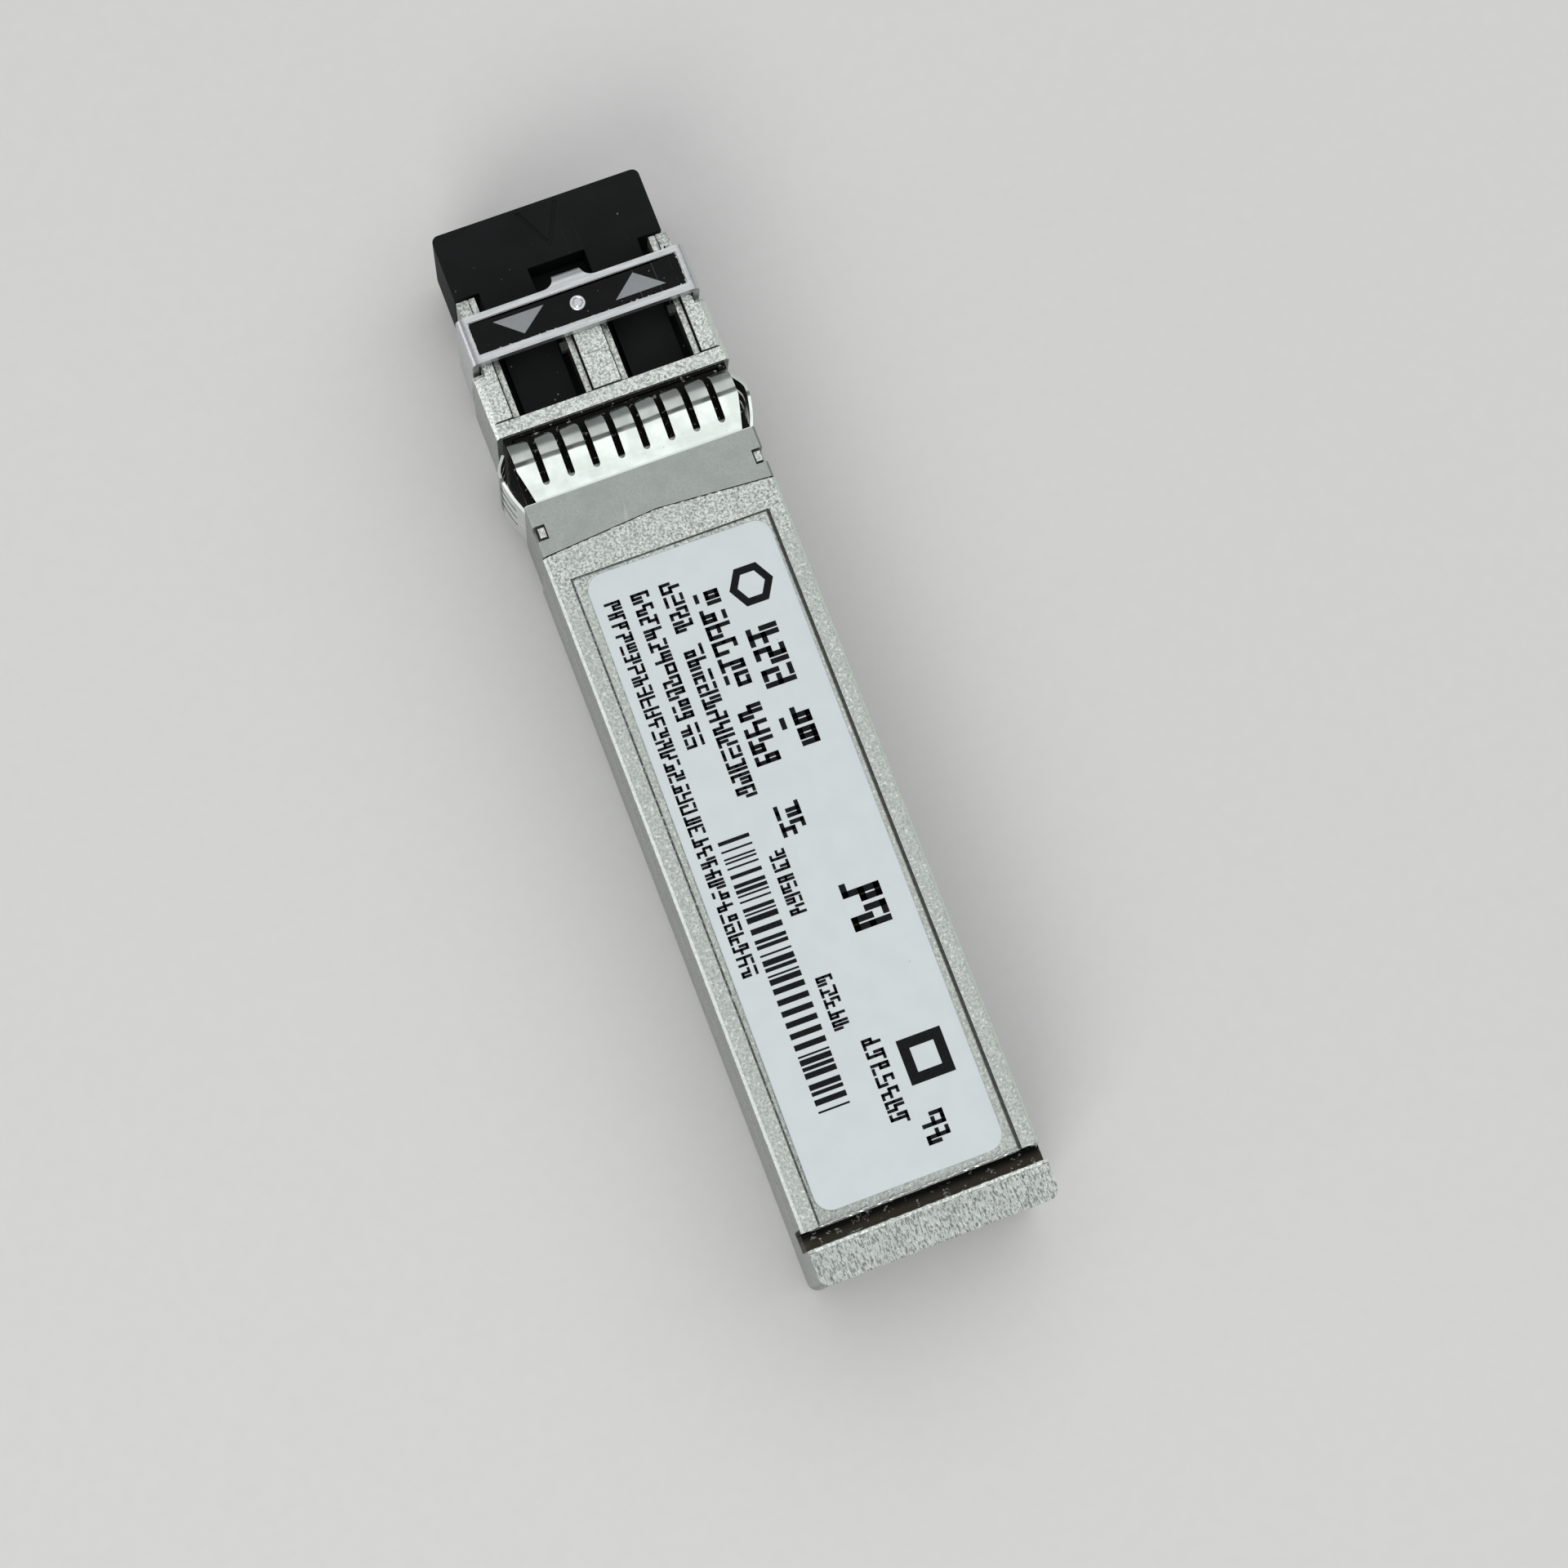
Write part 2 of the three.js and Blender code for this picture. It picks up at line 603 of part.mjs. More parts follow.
// Arm seen from the side: a strip from the crossbar to the pivot. Its lower
// end is a spiral cam whose radius grows by CAM_LIFT over a quarter turn.
function armOutline() {
  const pivot = new THREE.Vector2(at(BAIL_PIVOT_STATION), BAIL_PIVOT_HEIGHT);
  const steps = 10;
  const cam = Array.from({ length: steps + 1 }, (_, index) => {
    const turn = (index / steps) * Math.PI / 2;
    const radius = CAM_BASE + CAM_LIFT * index / steps;
    return new THREE.Vector2(pivot.x - radius * Math.sin(turn), pivot.y - radius * Math.cos(turn));
  });
  const rearSide = Array.from({ length: 5 }, (_, index) => {
    const turn = (index / 5) * Math.PI / 2;
    return new THREE.Vector2(
      pivot.x + CAM_BASE * Math.cos(turn),
      pivot.y - CAM_BASE * Math.sin(turn),
    );
  });
  return new THREE.Shape([
    new THREE.Vector2(at(BAIL_REAR), BAR_TOP - 1),
    new THREE.Vector2(at(BAIL_REAR), 5.2),
    new THREE.Vector2(pivot.x + CAM_BASE, 3.6),
    ...rearSide,
    ...cam,
    new THREE.Vector2(at(BAIL_FRONT), 4.4),
    new THREE.Vector2(at(BAIL_FRONT), BAR_TOP - 1),
  ].reverse());
}

// Crossbar and the tops of the arms, bent from one strip with round corners.
function yokeSection() {
  const outer = 0.55;
  const inner = 0.18;
  const foot = 6.5;
  const shape = new THREE.Shape();
  shape.moveTo(-BAIL_HALF, foot);
  shape.lineTo(-ARM_INNER, foot);
  shape.absarc(-ARM_INNER + inner, BAR_BOTTOM - inner, inner, Math.PI, Math.PI / 2, true);
  shape.absarc(ARM_INNER - inner, BAR_BOTTOM - inner, inner, Math.PI / 2, 0, true);
  shape.lineTo(ARM_INNER, foot);
  shape.lineTo(BAIL_HALF, foot);
  shape.absarc(BAIL_HALF - outer, BAR_TOP - outer, outer, 0, Math.PI / 2);
  shape.absarc(-BAIL_HALF + outer, BAR_TOP - outer, outer, Math.PI / 2, Math.PI);
  return shape;
}

// Thumb tab on the crossbar's front edge: a tapered lip that curls down.
function bailTab() {
  const root = BAIL_FRONT - 0.3;
  const neck = BAIL_FRONT + 0.45;
  const end = BAIL_FRONT + 1.2;
  const rootHalf = 1.5;
  const neckHalf = 0.85;
  const endHalf = 0.7;
  const fillet = 0.95;
  const lip = stripOutline([
    [root, BAR_TOP], [BAIL_FRONT + 0.2, BAR_TOP - 0.03],
    [BAIL_FRONT + 0.5, BAR_TOP - 0.16], [BAIL_FRONT + 0.72, BAR_TOP - 0.42],
  ], 0.4, 8);
  const plan = new THREE.Shape();
  plan.moveTo(-rootHalf, at(root));
  plan.lineTo(-rootHalf, at(BAIL_FRONT));
  plan.quadraticCurveTo(-fillet, at(BAIL_FRONT + 0.05), -neckHalf, at(neck));
  plan.lineTo(-endHalf, at(end));
  plan.lineTo(endHalf, at(end));
  plan.lineTo(neckHalf, at(neck));
  plan.quadraticCurveTo(fillet, at(BAIL_FRONT + 0.05), rootHalf, at(BAIL_FRONT));
  plan.lineTo(rootHalf, at(root));
  return solid(alongX(lip, -2, 2)).intersect(solid(alongZ(plan, BAR_BOTTOM - 2, BAR_TOP + OVERRUN)));
}

const MARK_REAR = 52.98;
const MARK_FRONT = 54.88;
const MARK_HALF = 6.02;
const MARK_FLOOR = BAR_TOP - 0.1;
const PIP_RADIUS = 0.42;
const PIP_STATION = 53.95;

function bail() {
  const yoke = solid(alongY(yokeSection(), BAIL_REAR, BAIL_FRONT));
  const pocket = centred(MARK_HALF, MARK_REAR, MARK_FRONT, MARK_FLOOR, BAR_TOP + OVERRUN);
  const pip = new THREE.CylinderGeometry(PIP_RADIUS * 0.5, PIP_RADIUS, 0.22, 20)
    .rotateX(Math.PI / 2)
    .translate(0, at(PIP_STATION), MARK_FLOOR + 0.06);
  let body = cut(yoke, pocket).add(solid(pip)).add(bailTab());
  for (const side of SIDES) {
    const x0 = Math.min(side * ARM_INNER, side * BAIL_HALF);
    const x1 = Math.max(side * ARM_INNER, side * BAIL_HALF);
    body = body.add(solid(alongX(armOutline(), x0, x1)));
    const stud = rodX(
      STUD_RADIUS,
      side > 0 ? STUD_END : -ARM_INNER - 0.1,
      side > 0 ? ARM_INNER + 0.1 : -STUD_END,
      BAIL_PIVOT_STATION, BAIL_PIVOT_HEIGHT,
    );
    body = body.add(solid(stud));
  }
  return body;
}

function bailLabel() {
  const inset = 0.02;
  const plate = centred(MARK_HALF - inset, MARK_REAR + inset, MARK_FRONT - inset, MARK_FLOOR, BAR_TOP - 0.02);
  const hole = new THREE.CylinderGeometry(PIP_RADIUS + 0.06, PIP_RADIUS + 0.06, 2, 20)
    .rotateX(Math.PI / 2)
    .translate(0, at(PIP_STATION), BAR_TOP);
  return cut(solid(plate), hole);
}

// ---------------------------------------------------------------- latch

function latchLever() {
  const underside = 0.35;
  const armTop = 0.9;
  const barTop = 1.15;
  const rear = 42.3;
  const profile = [
    [rear, underside], [rear, armTop], [46, armTop], [48.6, barTop], [52.6, barTop], [53.3, WING_TOP],
    [54.7, WING_TOP], [54.7, WING_BOTTOM], [53.3, WING_BOTTOM], [52.6, underside],
    [BOSS_SHOULDER, underside], [BOSS_SHOULDER, -BOSS_HEIGHT], [44.7, -BOSS_HEIGHT], [42.5, 0.3],
  ];
  const body = join(
    alongX(profile, -LEVER_HALF, LEVER_HALF),
    rodX(HUB_RADIUS, -LEVER_HALF, LEVER_HALF, LEVER_PIVOT_STATION, LEVER_PIVOT_HEIGHT),
    centred(WING_HALF, WING_REAR, WING_FRONT, WING_BOTTOM, WING_TOP),
  );
  return cut(body, rodX(PIN_RADIUS + 0.08, -PIN_HALF, PIN_HALF, LEVER_PIVOT_STATION, LEVER_PIVOT_HEIGHT));
}

function latchPin() {
  return rodX(PIN_RADIUS, -PIN_HALF, PIN_HALF, LEVER_PIVOT_STATION, LEVER_PIVOT_HEIGHT);
}

function latchSpring() {
  const leaf = stripOutline(
    [[45.6, 1.72], [44.9, 1.9], [43.9, 1.7], [43.0, 1.3], [42.4, 1.12]], 0.12, 10,
  );
  return alongX(leaf, -0.9, 0.9);
}

// ---------------------------------------------------------------- dust plug

function dustPlug() {
  const half = 6.04;
  const rear = 57.0;
  const tongueRear = 55.75;
  const bottom = 1.0;
  const top = 7.0;
  const legRear = 49.6;
  const legHalf = 2.12;
  const keyHalf = 1.5;
  const markDepth = 0.07;
  const radius = 0.4;
  const head = alongZ(
    roundedPlan(-half, half, rear, PLUG_FRONT, [radius, radius, 0, 0]), bottom, top,
  );
  const tongueHalf = 4.62;
  const tongue = centred(tongueHalf, tongueRear, rear + 0.2, bottom, top);
  const legs = SIDES.map((side) => {
    const x = portX(side);
    return alongY([
      [x - legHalf, PORT_BOTTOM + 0.15], [x + legHalf, PORT_BOTTOM + 0.15],
      [x + legHalf, PORT_TOP - 0.2], [x + keyHalf, PORT_TOP - 0.2],
      [x + keyHalf, top], [x - keyHalf, top],
      [x - keyHalf, PORT_TOP - 0.2], [x - legHalf, PORT_TOP - 0.2],
    ], legRear, tongueRear + 0.2);
  });
  const boreEnd = 53.6;
  const notchHalf = 1.66;
  const notchFront = 57.4;
  const notchFloor = 5.2;
  const bores = SIDES.map((side) => (
    rodY(BARREL_RADIUS + 0.3, portX(side), legRear - OVERRUN, boreEnd, OPTICAL_AXIS)
  ));
  const mark = [
    [-1.25, 60.6], [-0.05, 58.2], [0.05, 58.2], [1.25, 60.6], [1.0, 60.6], [0, 58.55], [-1.0, 60.6],
  ].reverse();
  return cut(
    join(head, tongue, ...legs),
    ...bores,
    centred(notchHalf, tongueRear - OVERRUN, notchFront, notchFloor, TOP),
    alongZ(mark, top - markDepth, TOP),
  );
}

// ---------------------------------------------------------------- inside

function circuitBoard() {
  const edgeHalf = 4.6;
  const bodyHalf = 5.8;
  return alongZ([
    [-edgeHalf, BOARD_REAR], [edgeHalf, BOARD_REAR], [edgeHalf, SKIRT_END + 0.3],
    [bodyHalf, SKIRT_END + 0.3], [bodyHalf, BOARD_FRONT], [-bodyHalf, BOARD_FRONT],
    [-bodyHalf, SKIRT_END + 0.3], [-edgeHalf, SKIRT_END + 0.3],
  ], BOARD_BOTTOM, BOARD_TOP);
}

// Turned about the optical axis: [radius, station] points, closed on the axis
// or on an inner bore.
function turned(points, x, sides = 28) {
  const profile = points.map(([radius, station]) => new THREE.Vector2(radius, -at(station)));
  const geometry = new THREE.LatheGeometry(profile, sides);
  return geometry.rotateX(Math.PI).translate(x, 0, OPTICAL_AXIS);
}

function opticsCan(x) {
  return turned([
    [0, 42.3], [2.2, 42.3], [2.2, 42.9], [1.9, 43.0], [1.9, 44.9], [0, 44.9],
  ], x);
}

function opticsBarrel(x) {
  const bore = 0.64;
  const mouth = 0.85;
  return turned([
    [bore, 45.0], [2.15, 45.0], [2.15, 45.5], [1.9, 45.5], [1.9, 46.2], [BARREL_RADIUS, 46.2],
    [BARREL_RADIUS, 52.2], [mouth, 52.4], [bore, 52.1], [bore, 45.0],
  ], x);
}

function barrelRetainer() {
  const bar = centred(INNER_HALF - GAP, 46.45, 48.1, OPTICAL_AXIS + GAP, COVER_CEILING - GAP);
  return cut(
    solid(bar),
    ...SIDES.map((side) => rodY(BARREL_RADIUS + SEAT_CLEARANCE, portX(side), 46, 49, OPTICAL_AXIS)),
  );
}

// Flexible circuit from the back of a can down onto the board.
function opticsFlex(x) {
  const strip = stripOutline(
    [[42.08, 5.6], [41.95, 4.5], [41.4, 3.8], [40.5, 3.5], [38.8, 3.45]], 0.15, 14,
  );
  return alongX(strip, x - 1.6, x + 1.6);
}

function chip(x, station, size, height) {
  const seat = BOARD_TOP + 0.02;
  return block(x - size / 2, x + size / 2, station - size / 2, station + size / 2, seat, seat + height);
}

function addInside() {
  add('circuit_board', circuitBoard(), 'laminate');
  add('transmit_can', opticsCan(portX(-1)), 'opticsSteel');
  add('transmit_barrel', opticsBarrel(portX(-1)), 'ceramicBarrel');
  add('receive_can', opticsCan(portX(1)), 'opticsSteel');
  add('receive_barrel', opticsBarrel(portX(1)), 'ceramicBarrel');
  add('barrel_retainer', barrelRetainer(), 'latchZinc');
  add('transmit_flex', opticsFlex(portX(-1)), 'polyimide');
  add('receive_flex', opticsFlex(portX(1)), 'polyimide');

  const retimerX = 2.5;
  const retimerStation = 33.1;
  add('transmit_retimer', chip(-retimerX, retimerStation, 4, 0.9), 'chipResin');
  add('receive_retimer', chip(retimerX, retimerStation, 4, 0.9), 'chipResin');
  const padHalf = 2.1;
  const padBottom = BOARD_TOP + 0.95;
  for (const [index, side] of SIDES.entries()) {
    const x = side * retimerX;
    const pad = block(x - padHalf, x + padHalf, retimerStation - padHalf, retimerStation + padHalf,
      padBottom, PEDESTAL_FACE - 0.03);
    add(`thermal_pad_${index + 1}`, pad, 'gapPad');
  }
  add('microcontroller', chip(-2, 23, 5, 0.85), 'chipResin');
  add('memory_chip', chip(3.2, 22, 3, 0.75), 'chipResin');
  add('power_inductor_1', chip(-3.2, 16, 2.4, 1.2), 'ferrite');
  add('power_inductor_2', chip(0.4, 16, 2.4, 1.2), 'ferrite');
  const capacitorStations = [13.2, 18.6, 27.2, 28.6, 30, 36.8];
  for (const [index, station] of capacitorStations.entries()) {
    add(`capacitor_${index + 1}`, chip(index % 2 ? 4.3 : 4.0, station, 0.9, 0.7), 'capacitorTan');
  }
  add('absorber_sheet', centred(5, 12, 28, 6.62, COVER_CEILING - 0.03), 'absorber');
}

// ---------------------------------------------------------------- assembly

add('base_housing', baseHousing(), 'castZinc');
add('top_cover', topCover(), 'castZinc');
add('product_label', productLabel(), 'label');
add('emi_collar', emiCollar(), 'springSteel');
add('bail', bail(), 'stampedSteel');
add('bail_label', bailLabel(), 'blackFilm');
add('latch_lever', latchLever(), 'latchZinc');
add('latch_pivot_pin', latchPin(), 'stampedSteel');
add('latch_spring', latchSpring(), 'springSteel');
add('dust_plug', dustPlug(), 'dustRubber');
addInside();

export default module;
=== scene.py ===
"""Pluggable optical transceiver module: surfaces, markings and studio.

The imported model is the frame: metres, +Z up, nose to -Y, rear to +Y. Every new
piece is a surface worked out in the same frame and rides on one of its bodies.
Lengths in this file are millimetres unless a property says otherwise.
"""

import math

import bmesh
import bpy
import numpy as np
from mathutils import Matrix, Vector


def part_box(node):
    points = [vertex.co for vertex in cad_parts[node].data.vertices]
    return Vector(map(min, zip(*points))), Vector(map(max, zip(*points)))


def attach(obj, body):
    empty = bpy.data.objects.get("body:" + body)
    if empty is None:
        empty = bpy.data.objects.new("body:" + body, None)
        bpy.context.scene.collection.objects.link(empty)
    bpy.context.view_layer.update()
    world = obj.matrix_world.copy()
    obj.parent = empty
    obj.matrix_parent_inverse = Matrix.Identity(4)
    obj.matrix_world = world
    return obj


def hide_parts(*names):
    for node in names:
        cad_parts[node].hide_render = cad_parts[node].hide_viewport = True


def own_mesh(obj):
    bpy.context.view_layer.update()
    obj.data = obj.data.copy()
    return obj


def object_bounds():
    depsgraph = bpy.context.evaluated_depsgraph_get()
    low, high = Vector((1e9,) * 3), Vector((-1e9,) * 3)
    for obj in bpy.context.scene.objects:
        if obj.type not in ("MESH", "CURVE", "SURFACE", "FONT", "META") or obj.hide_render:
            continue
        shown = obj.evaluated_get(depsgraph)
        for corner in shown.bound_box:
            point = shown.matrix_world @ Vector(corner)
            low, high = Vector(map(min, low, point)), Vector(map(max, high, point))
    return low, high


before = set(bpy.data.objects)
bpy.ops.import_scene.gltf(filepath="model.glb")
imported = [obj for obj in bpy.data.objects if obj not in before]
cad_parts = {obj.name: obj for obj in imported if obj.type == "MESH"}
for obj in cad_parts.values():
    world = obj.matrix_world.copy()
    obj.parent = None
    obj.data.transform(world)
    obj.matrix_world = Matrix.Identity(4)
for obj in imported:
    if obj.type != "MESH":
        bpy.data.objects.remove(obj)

CAD_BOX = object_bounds()
MM = 0.001

bl_info = {
    "name": "Optical transceiver module",
    "version": (1, 0, 0),
    "blender": (4, 5, 0),
    "location": "3D View > Sidebar > Transceiver",
    "description": "Builds the surfaces of a pluggable optical transceiver around its packed frame",
    "category": "Object",
}


# ------------------------------------------------------------------ measures


def span(node):
    """Lowest and highest corner of a CAD node, in millimetres."""
    low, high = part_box(node)
    return np.array(low) / MM, np.array(high) / MM


LABEL_LOW, LABEL_HIGH = span("product_label")
FILM_LOW, FILM_HIGH = span("bail_label")
COVER_HIGH = span("top_cover")[1]
BASE_HIGH = span("base_housing")[1]
BOARD_LOW, BOARD_HIGH = span("circuit_board")
REAR = BASE_HIGH[1]
COVER_END = COVER_HIGH[1]
COVER_TOP = COVER_HIGH[2]
END_BAR = REAR - 2.05
# Along the module, from the collar's band to the crossbar
NOTCH_REAR, BAND_FRONT, FINGER_CREST, STOP_FACE, FLANGE_FRONT, CROSSBAR_REAR = (
    REAR - station for station in (42.3, 44.4, 46.45, 48.4, 49.2, 52.9)
)
# The label's pocket: half its width, its front end and its floor
POCKET_HALF = 5.7
POCKET_FRONT = REAR - 39.8
POCKET_FLOOR = 8.28
# The cover's chevron front edge, at its sides and at its tip
CHEVRON_SIDE = REAR - 41.35
CHEVRON_TIP = REAR - 41.85
PIP = REAR - 53.95
# Print is this thick and is sunk this deep into the label
PRINT_THICKNESS = 0.012
PRINT_SINK = 0.002


# ------------------------------------------------------------------ surfaces


def new_piece(name, vertices, faces, smooth_angle=35):
    """A mesh object at the origin from points in millimetres and face index rows."""
    mesh = bpy.data.meshes.new(name)
    mesh.from_pydata((np.asarray(vertices, float) * MM).tolist(), [], [list(face) for face in faces])
    mesh.update()
    return finish_mesh(name, mesh, smooth_angle)


def finish_mesh(name, mesh, smooth_angle):
    """Links a mesh as an object, smooth except where faces meet more sharply than the angle."""
    mesh.polygons.foreach_set("use_smooth", np.ones(len(mesh.polygons), dtype=bool))
    mesh.set_sharp_from_angle(angle=math.radians(smooth_angle))
    piece = bpy.data.objects.new(name, mesh)
    bpy.context.scene.collection.objects.link(piece)
    return piece


def grid_faces(rows, columns, first=0):
    """Quads between neighbouring rows of a grid whose columns close into a loop."""
    row, column = np.meshgrid(np.arange(rows - 1), np.arange(columns), indexing="ij")
    after = (column + 1) % columns
    corners = (row * columns + column, row * columns + after, (row + 1) * columns + after,
               (row + 1) * columns + column)
    return np.stack(corners, axis=-1).reshape(-1, 4) + first


def closed_rings(rings):
    """Vertices and faces of a stack of closed rings, its two ends filled with one face each."""
    rings = np.asarray(rings, float)
    rows, columns = rings.shape[:2]
    faces = grid_faces(rows, columns).tolist()
    faces.append(list(range(columns))[::-1])
    faces.append(list(range((rows - 1) * columns, rows * columns)))
    return rings.reshape(-1, 3), faces


def joined(parts):
    """Several (vertices, faces) pairs as one."""
    vertices, faces, first = [], [], 0
    for points, polygons in parts:
        vertices.append(points)
        faces.extend([[index + first for index in polygon] for polygon in polygons])
        first += len(points)
    return np.concatenate(vertices), faces


def outward(outline):
    """Unit normals of a closed anticlockwise outline: each tangent turned a quarter right."""
    tangent = np.roll(outline, -1, axis=0) - np.roll(outline, 1, axis=0)
    normal = np.stack([tangent[:, 1], -tangent[:, 0]], axis=1)
    return normal / np.maximum(np.linalg.norm(normal, axis=1, keepdims=True), 1e-9)


def plate(outline, profile):
    """Solid plate: the outline is repeated at each (inset, height) of the profile,
    moved inwards by the inset along its normals, from the underside to the top."""
    outline = np.asarray(outline, float)
    normal = outward(outline)
    rings = [
        np.column_stack([outline - normal * inset, np.full(len(outline), height)])
        for inset, height in profile
    ]
    return closed_rings(rings)


def rounded_rectangle(low, high, radius, steps=10):
    """Anticlockwise rectangle whose corners are quarter circles of the radius."""
    low, high = np.asarray(low, float)[:2], np.asarray(high, float)[:2]
    turn = np.linspace(0, math.pi / 2, steps)
    corners = []
    for quarter, centre in enumerate((
        (high[0] - radius, high[1] - radius), (low[0] + radius, high[1] - radius),
        (low[0] + radius, low[1] + radius), (high[0] - radius, low[1] + radius),
    )):
        angle = turn + quarter * math.pi / 2
        corners.append(np.column_stack([
            centre[0] + radius * np.cos(angle), centre[1] + radius * np.sin(angle),
        ]))
    return np.concatenate(corners)


def along_edges(outline, spacing):
    """The closed outline with extra points, so that no step is longer than the spacing."""
    following = np.roll(outline, -1, axis=0)
    counts = np.maximum(np.ceil(np.linalg.norm(following - outline, axis=1) / spacing), 1).astype(int)
    start = np.repeat(outline, counts, axis=0)
    end = np.repeat(following, counts, axis=0)
    step = np.concatenate([np.arange(count) / count for count in counts])
    return start + (end - start) * step[:, None]


def slabs(centres, sizes):
    """Many small blocks: each centre plus the eight corners of a unit cube times its size."""
    signs = np.array([[x, y, z] for z in (-1, 1) for y in (-1, 1) for x in (-1, 1)]) / 2
    vertices = (np.asarray(centres)[:, None, :] + signs[None] * np.asarray(sizes)[:, None, :])
    unit = np.array([
        [0, 2, 3, 1], [4, 5, 7, 6], [0, 1, 5, 4], [2, 6, 7, 3], [0, 4, 6, 2], [1, 3, 7, 5],
    ])
    faces = unit[None] + (np.arange(len(centres)) * len(signs))[:, None, None]
    return vertices.reshape(-1, 3), faces.reshape(-1, 4).tolist()


def ridge(start, end, width, height, roughness, seed, across=(0, 1, 0), steps=160):
    """Thin burr along a line: a half-round section whose width and height vary
    along the line by the roughness, from summed sines with seeded phases."""
    generator = np.random.default_rng(seed)
    start, end = np.asarray(start, float), np.asarray(end, float)
    along = np.linspace(0, 1, steps)
    length = np.linalg.norm(end - start)
    waves = generator.uniform(1.5, 14, 12)[:, None] * length / 2
    phases = generator.uniform(0, 2 * math.pi, 12)[:, None]
    wobble = np.sin(along[None] * waves * 2 + phases).sum(axis=0) / 4
    fade = np.clip(np.minimum(along, 1 - along) * length / 0.25, 0.05, 1)
    size = np.clip(1 + roughness * wobble, 0.25, 1.9) * fade
    turn = np.linspace(0, 2 * math.pi, 9)[:-1]
    path = start + (end - start) * along[:, None]
    side = np.asarray(across, float)
    up = np.array([0, 0, 1.0])
    rings = (
        path[:, None, :]
        + side * (np.cos(turn)[None, :, None] * width / 2 * size[:, None, None])
        + up * (np.sin(turn)[None, :, None] * height * size[:, None, None])
    )
    return closed_rings(rings)


def dome(centre, radius, height, rings=8, columns=28):
    """Shallow dome: radius falls as a cosine while height rises as a sine, over a flat base."""
    lift = np.linspace(0, math.pi / 2 * 0.96, rings)
    turn = np.linspace(0, 2 * math.pi, columns + 1)[:-1]
    radii = radius * np.cos(lift)
    points = np.stack([
        centre[0] + radii[:, None] * np.cos(turn),
        centre[1] + radii[:, None] * np.sin(turn),
        centre[2] + np.repeat((height * np.sin(lift))[:, None], columns, axis=1),
    ], axis=-1)
    return closed_rings(points)


def torus(centre, radius, thickness, columns=36, sides=10):
    """Ring: a small circle carried round a large one, both closed."""
    turn = np.linspace(0, 2 * math.pi, columns + 1)[:-1][:, None]
    tube = np.linspace(0, 2 * math.pi, sides + 1)[:-1][None]
    distance = radius + thickness * np.cos(tube)
    points = np.stack([
        centre[0] + distance * np.cos(turn),
        centre[1] + distance * np.sin(turn),
        centre[2] + thickness * np.sin(tube) + 0 * turn,
    ], axis=-1)
    faces = grid_faces(columns + 1, sides) % (columns * sides)
    return points.reshape(-1, 3), faces.tolist()


# What counts as one point and as flat when a CAD mesh is merged, and which edges get
# rounded: millimetres, degrees, millimetres and degrees
SAME_POINT = 0.002
FLAT_TURN = 0.6
SHORTEST_EDGE = 0.001
ROUNDED_TURN = 32


def softened(node, name, radius, segments=2, weld=0.03, smooth_angle=40):
    """Copy of a CAD node with its triangles merged into flat faces and points closer
    than the weld joined. A bevel of the radius rounds edges past the rounded turn."""
    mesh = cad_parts[node].data.copy()
    mesh.name = name
    work = bmesh.new()
    work.from_mesh(mesh)
    bmesh.ops.remove_doubles(work, verts=work.verts, dist=SAME_POINT * MM)
    bmesh.ops.dissolve_limit(
        work, angle_limit=math.radians(FLAT_TURN), verts=work.verts, edges=work.edges,
    )
    if weld:
        bmesh.ops.remove_doubles(work, verts=work.verts, dist=weld * MM)
        bmesh.ops.dissolve_degenerate(work, dist=SHORTEST_EDGE * MM, edges=work.edges)
    work.to_mesh(mesh)
    work.free()
    mesh.materials.clear()
    piece = finish_mesh(name, mesh, smooth_angle)
    if radius:
        bevel = piece.modifiers.new("edge_round", "BEVEL")
        bevel.width = radius * MM
        bevel.segments = segments
        bevel.limit_method = "ANGLE"
        bevel.angle_limit = math.radians(ROUNDED_TURN)
        bevel.use_clamp_overlap = True
        bevel.harden_normals = True
    return piece


def place(piece, body, slot, material, *replaced):
    """Gives a piece its body, its material and the CAD nodes it stands for. The slot is not used."""
    piece.data.materials.clear()
    piece.data.materials.append(material)
    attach(piece, body)
    if replaced:
        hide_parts(*replaced)


def coat(material, *nodes):
    """Gives CAD nodes a new material."""
    for node in nodes:
        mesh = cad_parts[node].data
        mesh.materials.clear()
        mesh.materials.append(material)


# ------------------------------------------------------------------ shader maths


class Value:
    """A number that varies over a surface; operators on it add Math nodes."""

    def __init__(self, finish, socket):
        self.finish = finish
        self.socket = socket

    def maths(self, operation, *inputs):
        node = self.finish.node("ShaderNodeMath", {"operation": operation}, dict(enumerate(inputs)))
        return Value(self.finish, node.outputs[0])

    def __add__(self, other):
        return self.maths("ADD", self, other)

    __radd__ = __add__

    def __sub__(self, other):
        return self.maths("SUBTRACT", self, other)

    def __rsub__(self, other):
        return self.maths("SUBTRACT", other, self)

    def __mul__(self, other):
        return self.maths("MULTIPLY", self, other)

    __rmul__ = __mul__

    def __truediv__(self, other):
        return self.maths("DIVIDE", self, other)

    def __abs__(self):
        return self.maths("ABSOLUTE", self)

    def least(self, other):
        return self.maths("MINIMUM", self, other)

    def most(self, other):
        return self.maths("MAXIMUM", self, other)

    def between(self, low, high):
        """0 below low, 1 above high, and an S-shaped rise between."""
        node = self.finish.node(
            "ShaderNodeMapRange",
            {"interpolation_type": "SMOOTHSTEP"},
            {"Value": self, "From Min": low, "From Max": high},
        )
        return Value(self.finish, node.outputs["Result"])


